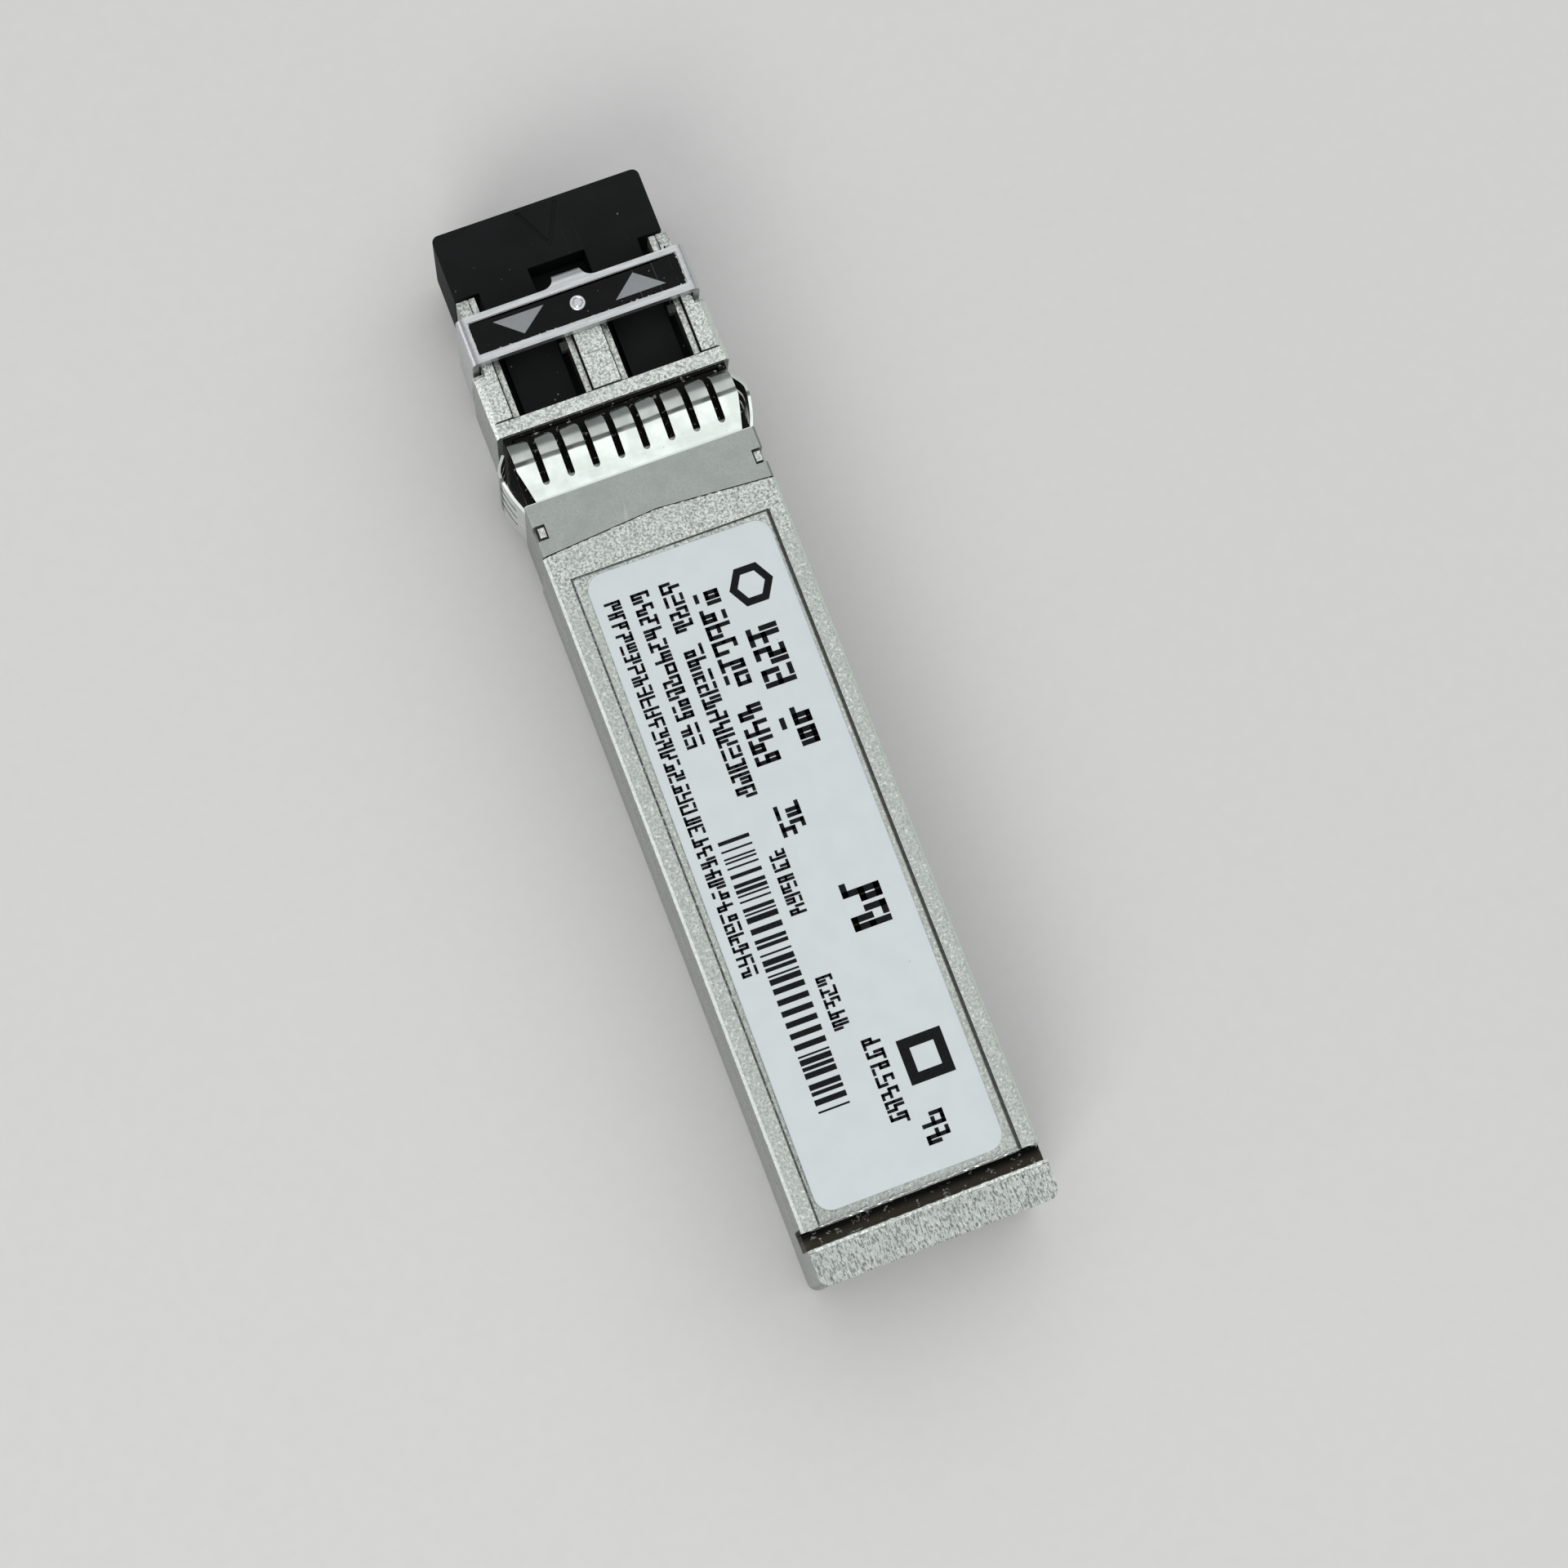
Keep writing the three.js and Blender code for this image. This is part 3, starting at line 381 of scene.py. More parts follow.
class Finish:
    """A material under construction: one Principled shader and the patterns that feed it."""

    def __init__(self, name, **sockets):
        self.material = bpy.data.materials.new(name)
        self.material.use_nodes = True
        self.tree = self.material.node_tree
        self.tree.nodes.clear()
        constants = {key.replace("_", " ").title(): value for key, value in sockets.items()}
        renamed = {"Ior": "IOR", "Specular": "Specular IOR Level"}
        constants = {renamed.get(key, key): value for key, value in constants.items()}
        self.shader = self.node("ShaderNodeBsdfPrincipled", {}, constants)
        output = self.node("ShaderNodeOutputMaterial")
        self.tree.links.new(self.shader.outputs[0], output.inputs["Surface"])
        self.source = self.node("ShaderNodeTexCoord")
        scaled = self.node("ShaderNodeMapping", {}, {
            "Vector": self.source.outputs["Object"],
            "Scale": (1 / MM, 1 / MM, 1 / MM),
        })
        self.point = scaled.outputs[0]

    def node(self, kind, settings=None, values=None):
        """Adds a node: its settings first, then the values or links of its sockets."""
        node = self.tree.nodes.new(kind)
        for key, setting in (settings or {}).items():
            setattr(node, key, setting)
        for key, value in (values or {}).items():
            if isinstance(value, Value):
                value = value.socket
            if isinstance(value, bpy.types.NodeSocket):
                self.tree.links.new(value, node.inputs[key])
            else:
                node.inputs[key].default_value = value
        return node

    def axis(self, index, vector=None):
        """One coordinate in millimetres of the surface point, or of another vector."""
        node = self.node("ShaderNodeSeparateXYZ", {}, {0: vector or self.point})
        return Value(self, node.outputs[index])

    def stretched(self, scale, shift=(0, 0, 0), turn=0.0):
        """The point, moved and scaled by axis: long patterns have a small scale along them."""
        node = self.node("ShaderNodeMapping", {}, {
            "Vector": self.point, "Scale": scale, "Location": shift, "Rotation": (0, 0, turn),
        })
        return node.outputs[0]

    def noise(self, scale, detail=2.0, rough=0.5, stretch=(1, 1, 1), shift=(0, 0, 0), turn=0.0):
        """Fractal noise around 0.5; scale is waves per millimetre."""
        node = self.node("ShaderNodeTexNoise", {}, {
            "Vector": self.stretched(stretch, shift, turn),
            "Scale": scale, "Detail": detail, "Roughness": rough,
        })
        return Value(self, node.outputs[0])

    def cells(self, scale, stretch=(1, 1, 1), shift=(0, 0, 0), feature="F1", random=1.0):
        """Distance to scattered points; scale is points per millimetre."""
        node = self.node("ShaderNodeTexVoronoi", {"feature": feature}, {
            "Vector": self.stretched(stretch, shift), "Scale": scale, "Randomness": random,
        })
        return Value(self, node.outputs["Distance"])

    def edges(self, low=0.78, high=0.96):
        """1 on rounded and chamfered edges, 0 on faces square to an axis."""
        normal = self.node("ShaderNodeSeparateXYZ", {}, {0: self.source.outputs["Normal"]})
        x, y, z = (abs(Value(self, normal.outputs[index])) for index in range(3))
        return 1 - x.most(y).most(z).between(low, high)

    def facing_up(self, low=0.6, high=0.9):
        """1 where the surface faces up."""
        return self.axis(2, self.source.outputs["Normal"]).between(low, high)

    def specks(self, scale, size, shift=(0, 0, 0), keep=0.5):
        """Sparse dots: near a scattered point, where a slow noise lets them through."""
        dots = 1 - self.cells(scale, shift=shift).between(size * 0.5, size)
        return dots * self.noise(scale * 0.9, shift=shift).between(keep, keep + 0.08)

    def scratches(self, scale, turn, thin=0.012, keep=0.55, shift=(0, 0, 0)):
        """Fine straight marks: the narrow middle band of a long stretched noise, broken up."""
        line = abs(self.noise(scale, 1.0, 0.4, (1, 0.035, 1), shift, turn) - 0.5)
        gaps = self.noise(scale * 0.16, 1.0, shift=(7, 3, 1)).between(keep, keep + 0.1)
        return (1 - line.between(thin * 0.4, thin)) * gaps

    def mix(self, factor, first, second):
        """Colour between two colours, each a tuple or a socket."""
        first = (*first, 1) if isinstance(first, tuple) else first
        second = (*second, 1) if isinstance(second, tuple) else second
        node = self.node(
            "ShaderNodeMix", {"data_type": "RGBA"}, {0: factor, 6: first, 7: second},
        )
        return node.outputs[2]

    def bump(self, height, depth):
        """Normal from a height pattern whose full range is depth millimetres."""
        values = {"Height": height, "Distance": depth * MM, "Strength": 1.0}
        return self.node("ShaderNodeBump", {}, values).outputs[0]

    def result(self, **patterns):
        """Feeds patterns into the shader's sockets and returns the material."""
        names = {"colour": "Base Color", "roughness": "Roughness",
                 "normal": "Normal", "coat": "Coat Weight", "metallic": "Metallic"}
        for key, pattern in patterns.items():
            socket = self.shader.inputs[names[key]]
            source = pattern.socket if isinstance(pattern, Value) else pattern
            self.tree.links.new(source, socket)
        return self.material


# ------------------------------------------------------------------ finishes


def shade(colour, factor):
    """A colour made lighter or darker."""
    return tuple(min(channel * factor, 1.0) for channel in colour)


def cast_zinc(name, colour, grain, depth, rough, hammered=None, shade_painting=None, rubbed=None):
    """Sand-textured die casting: salt-and-pepper grain, soft blotches, pale edges that are
    partly wear and partly painted highlight, and sideways walls painted darker as shade.
    Past the hammered station the grain is coarse pits drawn out along the module and
    the edges are painted dark as shade. Past the rubbed station the grain is fainter.
    The shade painting is a function of the finish that says where painted shade
    darkens the recesses."""
    finish = Finish(name, metallic=0.9, specular=0.08)
    fine = finish.noise(grain, 3.0, 0.7)
    pits = finish.cells(grain * 0.55, shift=(3, 1, 2))
    blotch = finish.noise(0.55, 3.0, 0.55, shift=(5, 2, 0))
    worn = finish.edges()
    side = 1 - abs(finish.axis(2, finish.source.outputs["Normal"])).between(0.15, 0.6)
    height = fine * 0.8 + pits * 0.5
    tone = fine.between(0.42, 0.58) * 0.7 + pits.between(0.08, 0.45) * 0.3
    if rubbed is not None:
        faint = finish.axis(1).between(rubbed, rubbed + 2.5) * finish.facing_up() * 0.55
        tone = tone * (1 - faint) + faint * 0.52
    if hammered is not None:
        rear = finish.axis(1).between(hammered, hammered + 0.05) * finish.facing_up()
        drawn = finish.cells(4.4, stretch=(1.3, 0.62, 1), shift=(9, 4, 0), feature="SMOOTH_F1")
        ripple = finish.noise(5.2, 3.0, 0.66, (1.6, 0.55, 1), (2, 8, 0))
        height = height * (1 - rear) + (height * 0.4 + drawn * 2.7 + ripple * 4.5) * rear
        pitted = ripple.between(0.44, 0.49) * 0.7 + drawn.between(0.1, 0.42) * 0.2 + tone * 0.1
        tone = tone * (1 - rear) + pitted * rear
        # Painted shade: on the end bar the rounded edges are darkened and lose their pale edge colour
        painted_shade = worn * finish.axis(1).between(hammered + 0.3, hammered + 0.4)
        tone = tone * (1 - painted_shade * 0.8)
        worn = worn - painted_shade
    base = finish.mix(tone, shade(colour, 0.31), shade(colour, 1.28))
    base = finish.mix(blotch.between(0.42, 0.68) * 0.28, base, shade(colour, 0.8))
    glint = finish.noise(grain * 0.8, 1.0, shift=(1, 6, 3)).between(0.6, 0.68)
    base = finish.mix(glint * 0.55, base, (0.88, 0.91, 0.87))
    # Painted shade: walls that face sideways are darkened
    base = finish.mix(side * 0.6, base, shade(colour, 0.38))
    # Pale edges: partly wear, partly a painted highlight
    base = finish.mix(worn * 0.75, base, shade(colour, 1.55))
    roughness = (fine * 0.26 + (rough - 0.12)) - worn * 0.14
    metallic = 0.9 - blotch * 0.06
    # Painted shade: where the shade painting's mask is set, the colour is mixed towards a dark shade
    # colour
    if shade_painting is not None:
        dirt_and_painted_shade, shade_colour = shade_painting(finish, fine)
        base = finish.mix(dirt_and_painted_shade, base, shade_colour)
        roughness = roughness + dirt_and_painted_shade * 0.2
        metallic = metallic * (1 - dirt_and_painted_shade)
    normal = finish.bump(height, depth)
    return finish.result(colour=base, roughness=roughness, metallic=metallic, normal=normal)


# Colours of painted shade: a black painted shadow, and brown painted shade in the groove by the end bar
PAINTED_SHADOW = (0.006, 0.0056, 0.005)
GROOVE_PAINTED_SHADE = (0.062, 0.053, 0.04)


def seat_painted_shade(finish, fine):
    """Painted shade on both castings: the trough under the spring fingers, from the flange to
    the roots of the slots, and the groove between the cover and the end bar, painted as a
    black shadow under the cover and brown shade beside the bar. Brighter crumbs show through."""
    x, along, up = abs(finish.axis(0)), finish.axis(1), finish.axis(2)
    outer_slot, trough_half, under_sheet, behind_top, behind_foot = 5.5, 6.42, 8.3, 8.2, 4.0
    slot_root = BAND_FRONT - 1.0 + x.between(outer_slot, outer_slot + 0.1) * 2
    trough = along.between(STOP_FACE - 0.01, STOP_FACE + 0.02)
    trough = trough * (1 - (along - slot_root).between(0, 0.1))
    trough = trough * (1 - x.between(trough_half, trough_half + 0.08))
    trough = trough * (1 - up.between(under_sheet, under_sheet + 0.06))
    behind = along.between(COVER_END - 0.3, COVER_END - 0.2)
    behind = behind * (1 - along.between(END_BAR - 0.02, END_BAR))
    behind = behind * (1 - up.between(behind_top, behind_top + 0.1))
    behind = behind * up.between(behind_foot, behind_foot + 1.0)
    crumbs = finish.noise(3.2, 2.0, shift=(4, 1, 7)).between(0.6, 0.66)
    dirt_and_painted_shade = trough.most(behind) * (1 - crumbs * fine.between(0.45, 0.6) * 0.5)
    brown = behind * (along - COVER_END).between(0.2, 0.7)
    return dirt_and_painted_shade, finish.mix(brown, PAINTED_SHADOW, GROOVE_PAINTED_SHADE)


def cover_painted_shade(finish, fine):
    """The seat's painted shade, and dark dotted lines of painted shade where the walls of the
    label's pocket meet its floor, broader on the transmit side."""
    dirt_and_painted_shade, shade_colour = seat_painted_shade(finish, fine)
    x, along, up = finish.axis(0), finish.axis(1), finish.axis(2)
    low = 1 - up.between(COVER_TOP - 0.1, COVER_TOP - 0.05)
    transmit = 1 - x.between(-0.1, 0.1)
    wide = 0.12 + transmit * 0.06  # half the width of the dotted lines
    beside = 1 - (abs(abs(x) - POCKET_HALF) / wide).between(0.7, 1.3)
    beside = beside * along.between(POCKET_FRONT - 0.1, POCKET_FRONT)
    ahead = 1 - abs(along - POCKET_FRONT).between(0.03, 0.08)
    ahead = ahead * (1 - abs(x).between(POCKET_HALF, POCKET_HALF + 0.05))
    corner = beside.most(ahead) * low * fine.between(0.32, 0.52).most(transmit)
    return dirt_and_painted_shade.most(corner * 0.85), shade_colour


def nose_painted_shade(finish, fine):
    """The seat's painted shade, and painted shade in the fine grooves round the flange, the
    ribs and the steps, in the windows' walls and in the collar's two notches."""
    dirt_and_painted_shade, shade_colour = seat_painted_shade(finish, fine)
    x, along, up = finish.axis(0), finish.axis(1), finish.axis(2)
    top = BASE_HIGH[2] - 0.05
    rib_half, notch_inner, notch_top, notch_length = 6.0, 5.9, 8.3, 0.9
    nose = 1 - along.between(FLANGE_FRONT, FLANGE_FRONT + 0.02)
    nose = nose * along.between(CROSSBAR_REAR, CROSSBAR_REAR + 0.05)
    nose = nose * (1 - abs(x).between(rib_half, rib_half + 0.05))
    nose = nose * (1 - up.between(top - 0.13, top - 0.08))
    step = 1 - abs(up - (top - 0.4)).between(0.05, 0.09)
    recess = nose * (1 - step * finish.facing_up()) * up.between(4.2, 5.0)
    seam = 1 - abs(along - (FLANGE_FRONT - 0.05)).between(0.04, 0.08)
    seam = seam * finish.facing_up() * up.between(top - 0.2, top - 0.12)
    notch = along.between(NOTCH_REAR - notch_length, NOTCH_REAR - notch_length + 0.05)
    notch = notch * (1 - along.between(NOTCH_REAR - 0.05, NOTCH_REAR))
    notch = notch * abs(x).between(notch_inner, notch_inner + 0.05)
    notch = notch * (1 - up.between(notch_top, notch_top + 0.1))
    return dirt_and_painted_shade.most(recess * 0.92).most(seam * 0.9).most(notch * 0.9), shade_colour


def polished_spring(name, colour):
    """Rolled spring sheet: a satin grey band with fine pits and scratches, painted darker than
    the fingers; fingers painted bright as if lit, with a painted shade line along their
    crests and painted shade on their tips."""
    finish = Finish(name, metallic=1.0, specular=0.5)
    along = finish.axis(1)
    waver = finish.noise(0.8, 1.0, shift=(2, 0, 0)) * 0.12 - 0.06
    band = along.between(BAND_FRONT - 0.1, BAND_FRONT + 0.04)
    tip = 1 - (along + waver).between(FINGER_CREST - 0.1, FINGER_CREST)
    crest = 1 - abs(along + waver - FINGER_CREST + 0.04).between(0.07, 0.19)
    bend = 1 - abs(along - BAND_FRONT).between(0.02, 0.06)
    rolling = finish.noise(5.0, 2.0, 0.6, (0.06, 1.0, 1.0))
    cloud = finish.noise(0.9, 2.0, 0.5, shift=(4, 4, 4))
    tooth = finish.noise(13.0, 2.0, 0.6)
    marks = finish.scratches(1.6, 0.9, keep=0.62, shift=(2, 5, 0))
    pits = finish.specks(3.1, 0.11, (6, 6, 1), 0.56)
    # Painted light and shade: the fingers' bright colour, the tips' darker colour and the band's darker
    # satin colour stand for light and shade on the bent sheet
    bright = finish.mix(cloud.between(0.35, 0.7), shade(colour, 0.92), shade(colour, 1.1))
    painted_shade = finish.mix(cloud.between(0.35, 0.7), shade(colour, 0.5), shade(colour, 0.62))
    satin = finish.mix(tooth.between(0.3, 0.7), shade(colour, 0.4), shade(colour, 0.48))
    satin = finish.mix(cloud.between(0.4, 0.7) * 0.5, satin, shade(colour, 0.38))
    base = finish.mix(tip * 0.85, bright, painted_shade)
    # Painted shade: a dark line along the fingers' crests
    base = finish.mix(crest * (0.6 + cloud * 0.6).least(1.0), base, shade(colour, 0.09))
    base = finish.mix(band, base, satin)
    # Painted highlight along the bend between band and fingers
    base = finish.mix(bend * 0.5, base, shade(colour, 1.15))
    base = finish.mix((marks * band * 0.2).least(0.4), base, (0.85, 0.85, 0.83))
    base = finish.mix(pits * 0.55, base, (0.1, 0.105, 0.095))
    roughness = 0.2 + band * 0.2 + rolling * 0.06 + marks * 0.1 + tip * 0.08
    height = rolling * 0.25 + tooth * 0.3 - marks * 0.15 - pits * 0.5
    return finish.result(colour=base, roughness=roughness, normal=finish.bump(height, 0.005))


def stamped_steel(name, colour):
    """Nickel-plated stamped steel: faint brushing across, rubbed edges, tiny nicks."""
    finish = Finish(name, metallic=0.95, specular=0.5)
    brushed = finish.noise(7.0, 3.0, 0.6, (0.08, 1.0, 1.0))
    cloud = finish.noise(0.8, 3.0, 0.55)
    grain = finish.noise(10.0, 2.0, 0.6)
    worn = finish.edges()
    nicks = finish.specks(1.7, 0.14, (2, 7, 4), 0.55)
    base = finish.mix(brushed.between(0.3, 0.7), shade(colour, 0.86), shade(colour, 1.1))
    base = finish.mix(cloud.between(0.5, 0.75) * 0.25, base, shade(colour, 0.78))
    base = finish.mix(worn * 0.5, base, shade(colour, 1.35))
    base = finish.mix(nicks * 0.7, base, (0.12, 0.12, 0.12))
    roughness = 0.3 + grain * 0.16 + cloud * 0.06 - worn * 0.06
    height = brushed * 0.4 + grain * 0.5 - nicks * 0.8
    return finish.result(colour=base, roughness=roughness, normal=finish.bump(height, 0.006))


def label_film(name, colour):
    """Satin printed film: faint mottling, a few specks and rubbed marks, slightly wavy."""
    finish = Finish(name, metallic=0.0, specular=0.45, coat_roughness=0.28)
    mottle = finish.noise(0.7, 3.0, 0.5)
    fibre = finish.noise(16.0, 2.0, 0.6)
    dirt_and_painted_shade = finish.specks(0.9, 0.06, (3, 3, 3), 0.58)
    rubbed = finish.scratches(0.8, 0.4, 0.01, 0.6, (1, 9, 0))
    base = finish.mix(mottle.between(0.3, 0.7), shade(colour, 0.965), colour)
    base = finish.mix(fibre.between(0.35, 0.75) * 0.25, base, shade(colour, 0.93))
    base = finish.mix(dirt_and_painted_shade * 0.55, base, (0.25, 0.27, 0.28))
    base = finish.mix(rubbed * 0.2, base, shade(colour, 0.8))
    roughness = 0.42 + mottle * 0.1 + rubbed * 0.12
    coat = 0.12 + mottle * 0.08
    height = finish.noise(0.35, 2.0, 0.4) * 3 + fibre * 0.2
    return finish.result(colour=base, roughness=roughness, coat=coat, normal=finish.bump(height, 0.006))


def printed_ink(name, colour):
    """Thermal print: near black, slightly uneven, satin."""
    finish = Finish(name, metallic=0.0, specular=0.12)
    uneven = finish.noise(6.0, 3.0, 0.6)
    voids = finish.specks(5.0, 0.16, (1, 1, 5), 0.62)
    base = finish.mix(uneven.between(0.35, 0.7), colour, shade(colour, 2.0))
    base = finish.mix(voids * 0.2, base, (0.4, 0.43, 0.45))
    roughness = 0.5 + uneven * 0.15
    return finish.result(colour=base, roughness=roughness, normal=finish.bump(uneven, 0.003))


def grey_print(name, colour):
    """Screen-printed grey: even, with a faint weave and a few rubbed spots."""
    finish = Finish(name, metallic=0.0, specular=0.3)
    weave = finish.noise(9.0, 2.0, 0.6)
    cloud = finish.noise(1.3, 2.0)
    rubbed = finish.specks(4.0, 0.12, (3, 5, 5), 0.62)
    base = finish.mix(weave.between(0.3, 0.7), shade(colour, 0.94), shade(colour, 1.04))
    base = finish.mix(cloud.between(0.45, 0.75) * 0.4, base, shade(colour, 0.88))
    base = finish.mix(rubbed * 0.4, base, shade(colour, 0.4))
    roughness = 0.45 + weave * 0.12
    return finish.result(colour=base, roughness=roughness, normal=finish.bump(weave, 0.002))


def black_film(name, colour):
    """Black marking film: gloss under fine dust, hair marks and chips at random."""
    finish = Finish(name, metallic=0.0, specular=0.1)
    haze = finish.noise(1.2, 3.0, 0.6)
    dust = finish.specks(2.4, 0.1, (4, 2, 1), 0.52) + finish.specks(1.1, 0.07, (9, 9, 2), 0.5)
    hairs = finish.scratches(0.9, 0.7, 0.008, 0.56, (5, 5, 5))
    base = finish.mix(haze.between(0.35, 0.75), colour, shade(colour, 1.7))
    base = finish.mix((dust * 0.6 + hairs * 0.25).least(0.8), base, (0.34, 0.35, 0.33))
    roughness = 0.36 + haze * 0.2 + dust * 0.2
    height = haze * 0.4 + finish.noise(12, 2.0) * 0.25 + dust
    return finish.result(colour=base, roughness=roughness, normal=finish.bump(height, 0.006))


def moulded_rubber(name, colour):
    """Matt moulded elastomer: fine spark texture, lint, dust and paler rubbed edges."""
    finish = Finish(name, metallic=0.0, specular=0.12)
    spark = finish.noise(11.0, 3.0, 0.6)
    cloud = finish.noise(0.45, 3.0, 0.55)
    dust = finish.specks(1.3, 0.085, (2, 2, 8), 0.5) + finish.specks(3.1, 0.09, (5, 1, 3), 0.6)
    lint = finish.scratches(0.7, 1.1, 0.006, 0.6, (3, 2, 2))
    worn = finish.edges()
    base = finish.mix(cloud.between(0.3, 0.75), colour, shade(colour, 1.45))
    base = finish.mix(worn * 0.3, base, shade(colour, 2.4))
    base = finish.mix((dust * 0.5 + lint * 0.03).least(0.7), base, (0.36, 0.38, 0.36))
    roughness = 0.55 + spark * 0.2 + cloud * 0.06
    height = spark * 0.6 + cloud * 0.8 + dust * 0.5
    return finish.result(colour=base, roughness=roughness, normal=finish.bump(height, 0.012))


def board_laminate(name, mask, bare):
    """Green solder mask over copper: raised tracks and ground fill, tented vias, and
    woven glass showing at the cut edges."""
    finish = Finish(name, metallic=0.0, specular=0.5, coat_roughness=0.2)
    lanes = abs((finish.axis(0) * 9.5 + finish.noise(0.5, 0.0) * 6.0).maths("SINE"))
    tracks = lanes.between(0.55, 0.7) * finish.noise(0.5, 1.0, shift=(2, 2, 0)).between(0.42, 0.48)
    vias = 1 - finish.cells(1.15, random=0.55).between(0.12, 0.17)
    weave = finish.noise(5.0, 1.0, 0.5, (1, 1, 3))
    side = 1 - abs(finish.axis(2, finish.source.outputs["Normal"])).between(0.4, 0.8)
    base = finish.mix(tracks * 0.55, mask, shade(mask, 1.9))
    base = finish.mix(vias * 0.6, base, (0.42, 0.36, 0.16))
    base = finish.mix(side, base, bare)
    roughness = 0.32 + weave * 0.15 + side * 0.3
    coat = 0.5 - side * 0.5
    height = tracks * 0.7 - vias * 0.6 + weave * 0.1
    return finish.result(colour=base, roughness=roughness, coat=coat, normal=finish.bump(height, 0.03))


def gold_plate(name, colour):
    """Hard gold on copper pads: bright, with wipe marks along the module."""
    finish = Finish(name, metallic=1.0, specular=0.5)
    wipe = finish.noise(9.0, 2.0, 0.6, (1, 0.06, 1))
    cloud = finish.noise(2.0, 2.0)
    base = finish.mix(cloud.between(0.3, 0.7), shade(colour, 0.88), shade(colour, 1.08))
    roughness = 0.18 + wipe * 0.2
    return finish.result(colour=base, roughness=roughness, normal=finish.bump(wipe, 0.003))


def turned_metal(name, colour, rough):
    """Turned or drawn metal: fine rings round the optical axis and light tarnish."""
    finish = Finish(name, metallic=1.0, specular=0.5)
    rings = finish.noise(12.0, 2.0, 0.6, (0.05, 1.0, 0.05))
    tarnish = finish.noise(1.1, 3.0)
    base = finish.mix(tarnish.between(0.35, 0.7), colour, shade(colour, 0.78))
    roughness = rough + rings * 0.12 + tarnish * 0.06
    return finish.result(colour=base, roughness=roughness, normal=finish.bump(rings, 0.004))


def moulded_solid(name, colour, rough, grain, depth=0.008, edge=1.4):
    """Plain moulded, fired or cured material: speckled tone, fine texture, paler edges."""
    finish = Finish(name, metallic=0.0, specular=0.45)
    speckle = finish.noise(grain, 3.0, 0.6)
    cloud = finish.noise(0.9, 3.0, shift=(3, 7, 1))
    worn = finish.edges()
    base = finish.mix(speckle.between(0.35, 0.7), shade(colour, 0.88), shade(colour, 1.12))
    base = finish.mix(cloud.between(0.45, 0.7) * 0.4, base, shade(colour, 0.8))
    base = finish.mix(worn * 0.5, base, shade(colour, edge))
    roughness = rough + speckle * 0.14
    return finish.result(colour=base, roughness=roughness, normal=finish.bump(speckle + cloud, depth))


def tinned_ends(name, colour, metal, middle, reach):
    """Chip capacitor: a fired body, tinned where it is further than the reach from its middle."""
    finish = Finish(name, specular=0.5)
    speckle = finish.noise(9.0, 2.0)
    tin = abs(finish.axis(0) - middle).between(reach, reach + 0.03)
    base = finish.mix(speckle.between(0.35, 0.7), shade(colour, 0.85), shade(colour, 1.1))
    base = finish.mix(tin, base, metal)
    roughness = 0.45 - tin * 0.15 + speckle * 0.1
    return finish.result(
        colour=base, roughness=roughness, metallic=tin * 0.95, normal=finish.bump(speckle, 0.006),
    )


def plain_floor(name, colour):
    """Pale seamless floor with a barely visible tooth."""
    finish = Finish(name, metallic=0.0, specular=0.25)
    tooth = finish.noise(1.2, 3.0, 0.6)
    base = finish.mix(tooth.between(0.3, 0.7), shade(colour, 0.985), colour)
    roughness = 0.78 + tooth * 0.1
    return finish.result(colour=base, roughness=roughness, normal=finish.bump(tooth, 0.01))


# ------------------------------------------------------------------ settings


def colour_property(name, description, default):
    """A colour, as three linear channels."""
    return bpy.props.FloatVectorProperty(
        name=name, description=description, subtype="COLOR", size=3, min=0, max=1, default=default,
    )


def length_property(name, description, default):
    """A length in millimetres. It has no unit, because Blender's own is the metre."""
    return bpy.props.FloatProperty(
        name=name, description=f"{description}, in millimetres", default=default, min=0, precision=3,
    )


def power_property(name, description, default):
    """The power of a light, in watts."""
    return bpy.props.FloatProperty(
        name=name, description=description, default=default, min=0, unit="POWER",
    )


class TransceiverShell(bpy.types.PropertyGroup):
    """Castings and spring collar."""

    zinc: colour_property("Cover zinc", "Sanded cover casting", (0.575, 0.61, 0.57))
    nose_zinc: colour_property("Base zinc", "Base casting and nose", (0.605, 0.64, 0.6))
    spring: colour_property("Spring steel", "Collar sheet", (0.79, 0.845, 0.795))
    grain: bpy.props.FloatProperty(
        name="Grain", description="Casting grains per millimetre", default=7.2, min=0.5,
    )
    edge: length_property("Edge radius", "Rounding of the castings' edges", 0.07)


class TransceiverMarks(bpy.types.PropertyGroup):
    """Label, print and marking film."""

    paper: colour_property("Label", "Label film", (0.70, 0.75, 0.765))
    ink: colour_property("Ink", "Printed marks", (0.004, 0.0045, 0.005))
    film: colour_property("Film", "Black field on the bail", (0.0035, 0.0037, 0.0036))
    arrow: colour_property("Arrows", "Direction triangles", (0.27, 0.285, 0.3))
    corner: length_property("Corner", "Radius of the label's corners", 0.95)
    skew: bpy.props.FloatProperty(
        name="Skew", description="Turn of the label in its pocket", default=math.radians(-0.6),
        subtype="ANGLE",
    )
    seed: bpy.props.IntProperty(name="Seed", description="Pattern of the generic marks", default=11, min=0)


class TransceiverLatch(bpy.types.PropertyGroup):
    """Bail, latch lever and dust plug."""

    steel: colour_property("Bail steel", "Plated stamped steel", (0.56, 0.58, 0.585))
    lever: colour_property("Lever zinc", "Latch lever casting", (0.46, 0.475, 0.45))
    rubber: colour_property("Plug", "Dust plug elastomer", (0.0062, 0.0075, 0.0075))
    edge: length_property("Edge radius", "Rounding of the bail's sheared edges", 0.05)
    plug_edge: length_property("Plug radius", "Rounding of the plug's edges", 0.16)


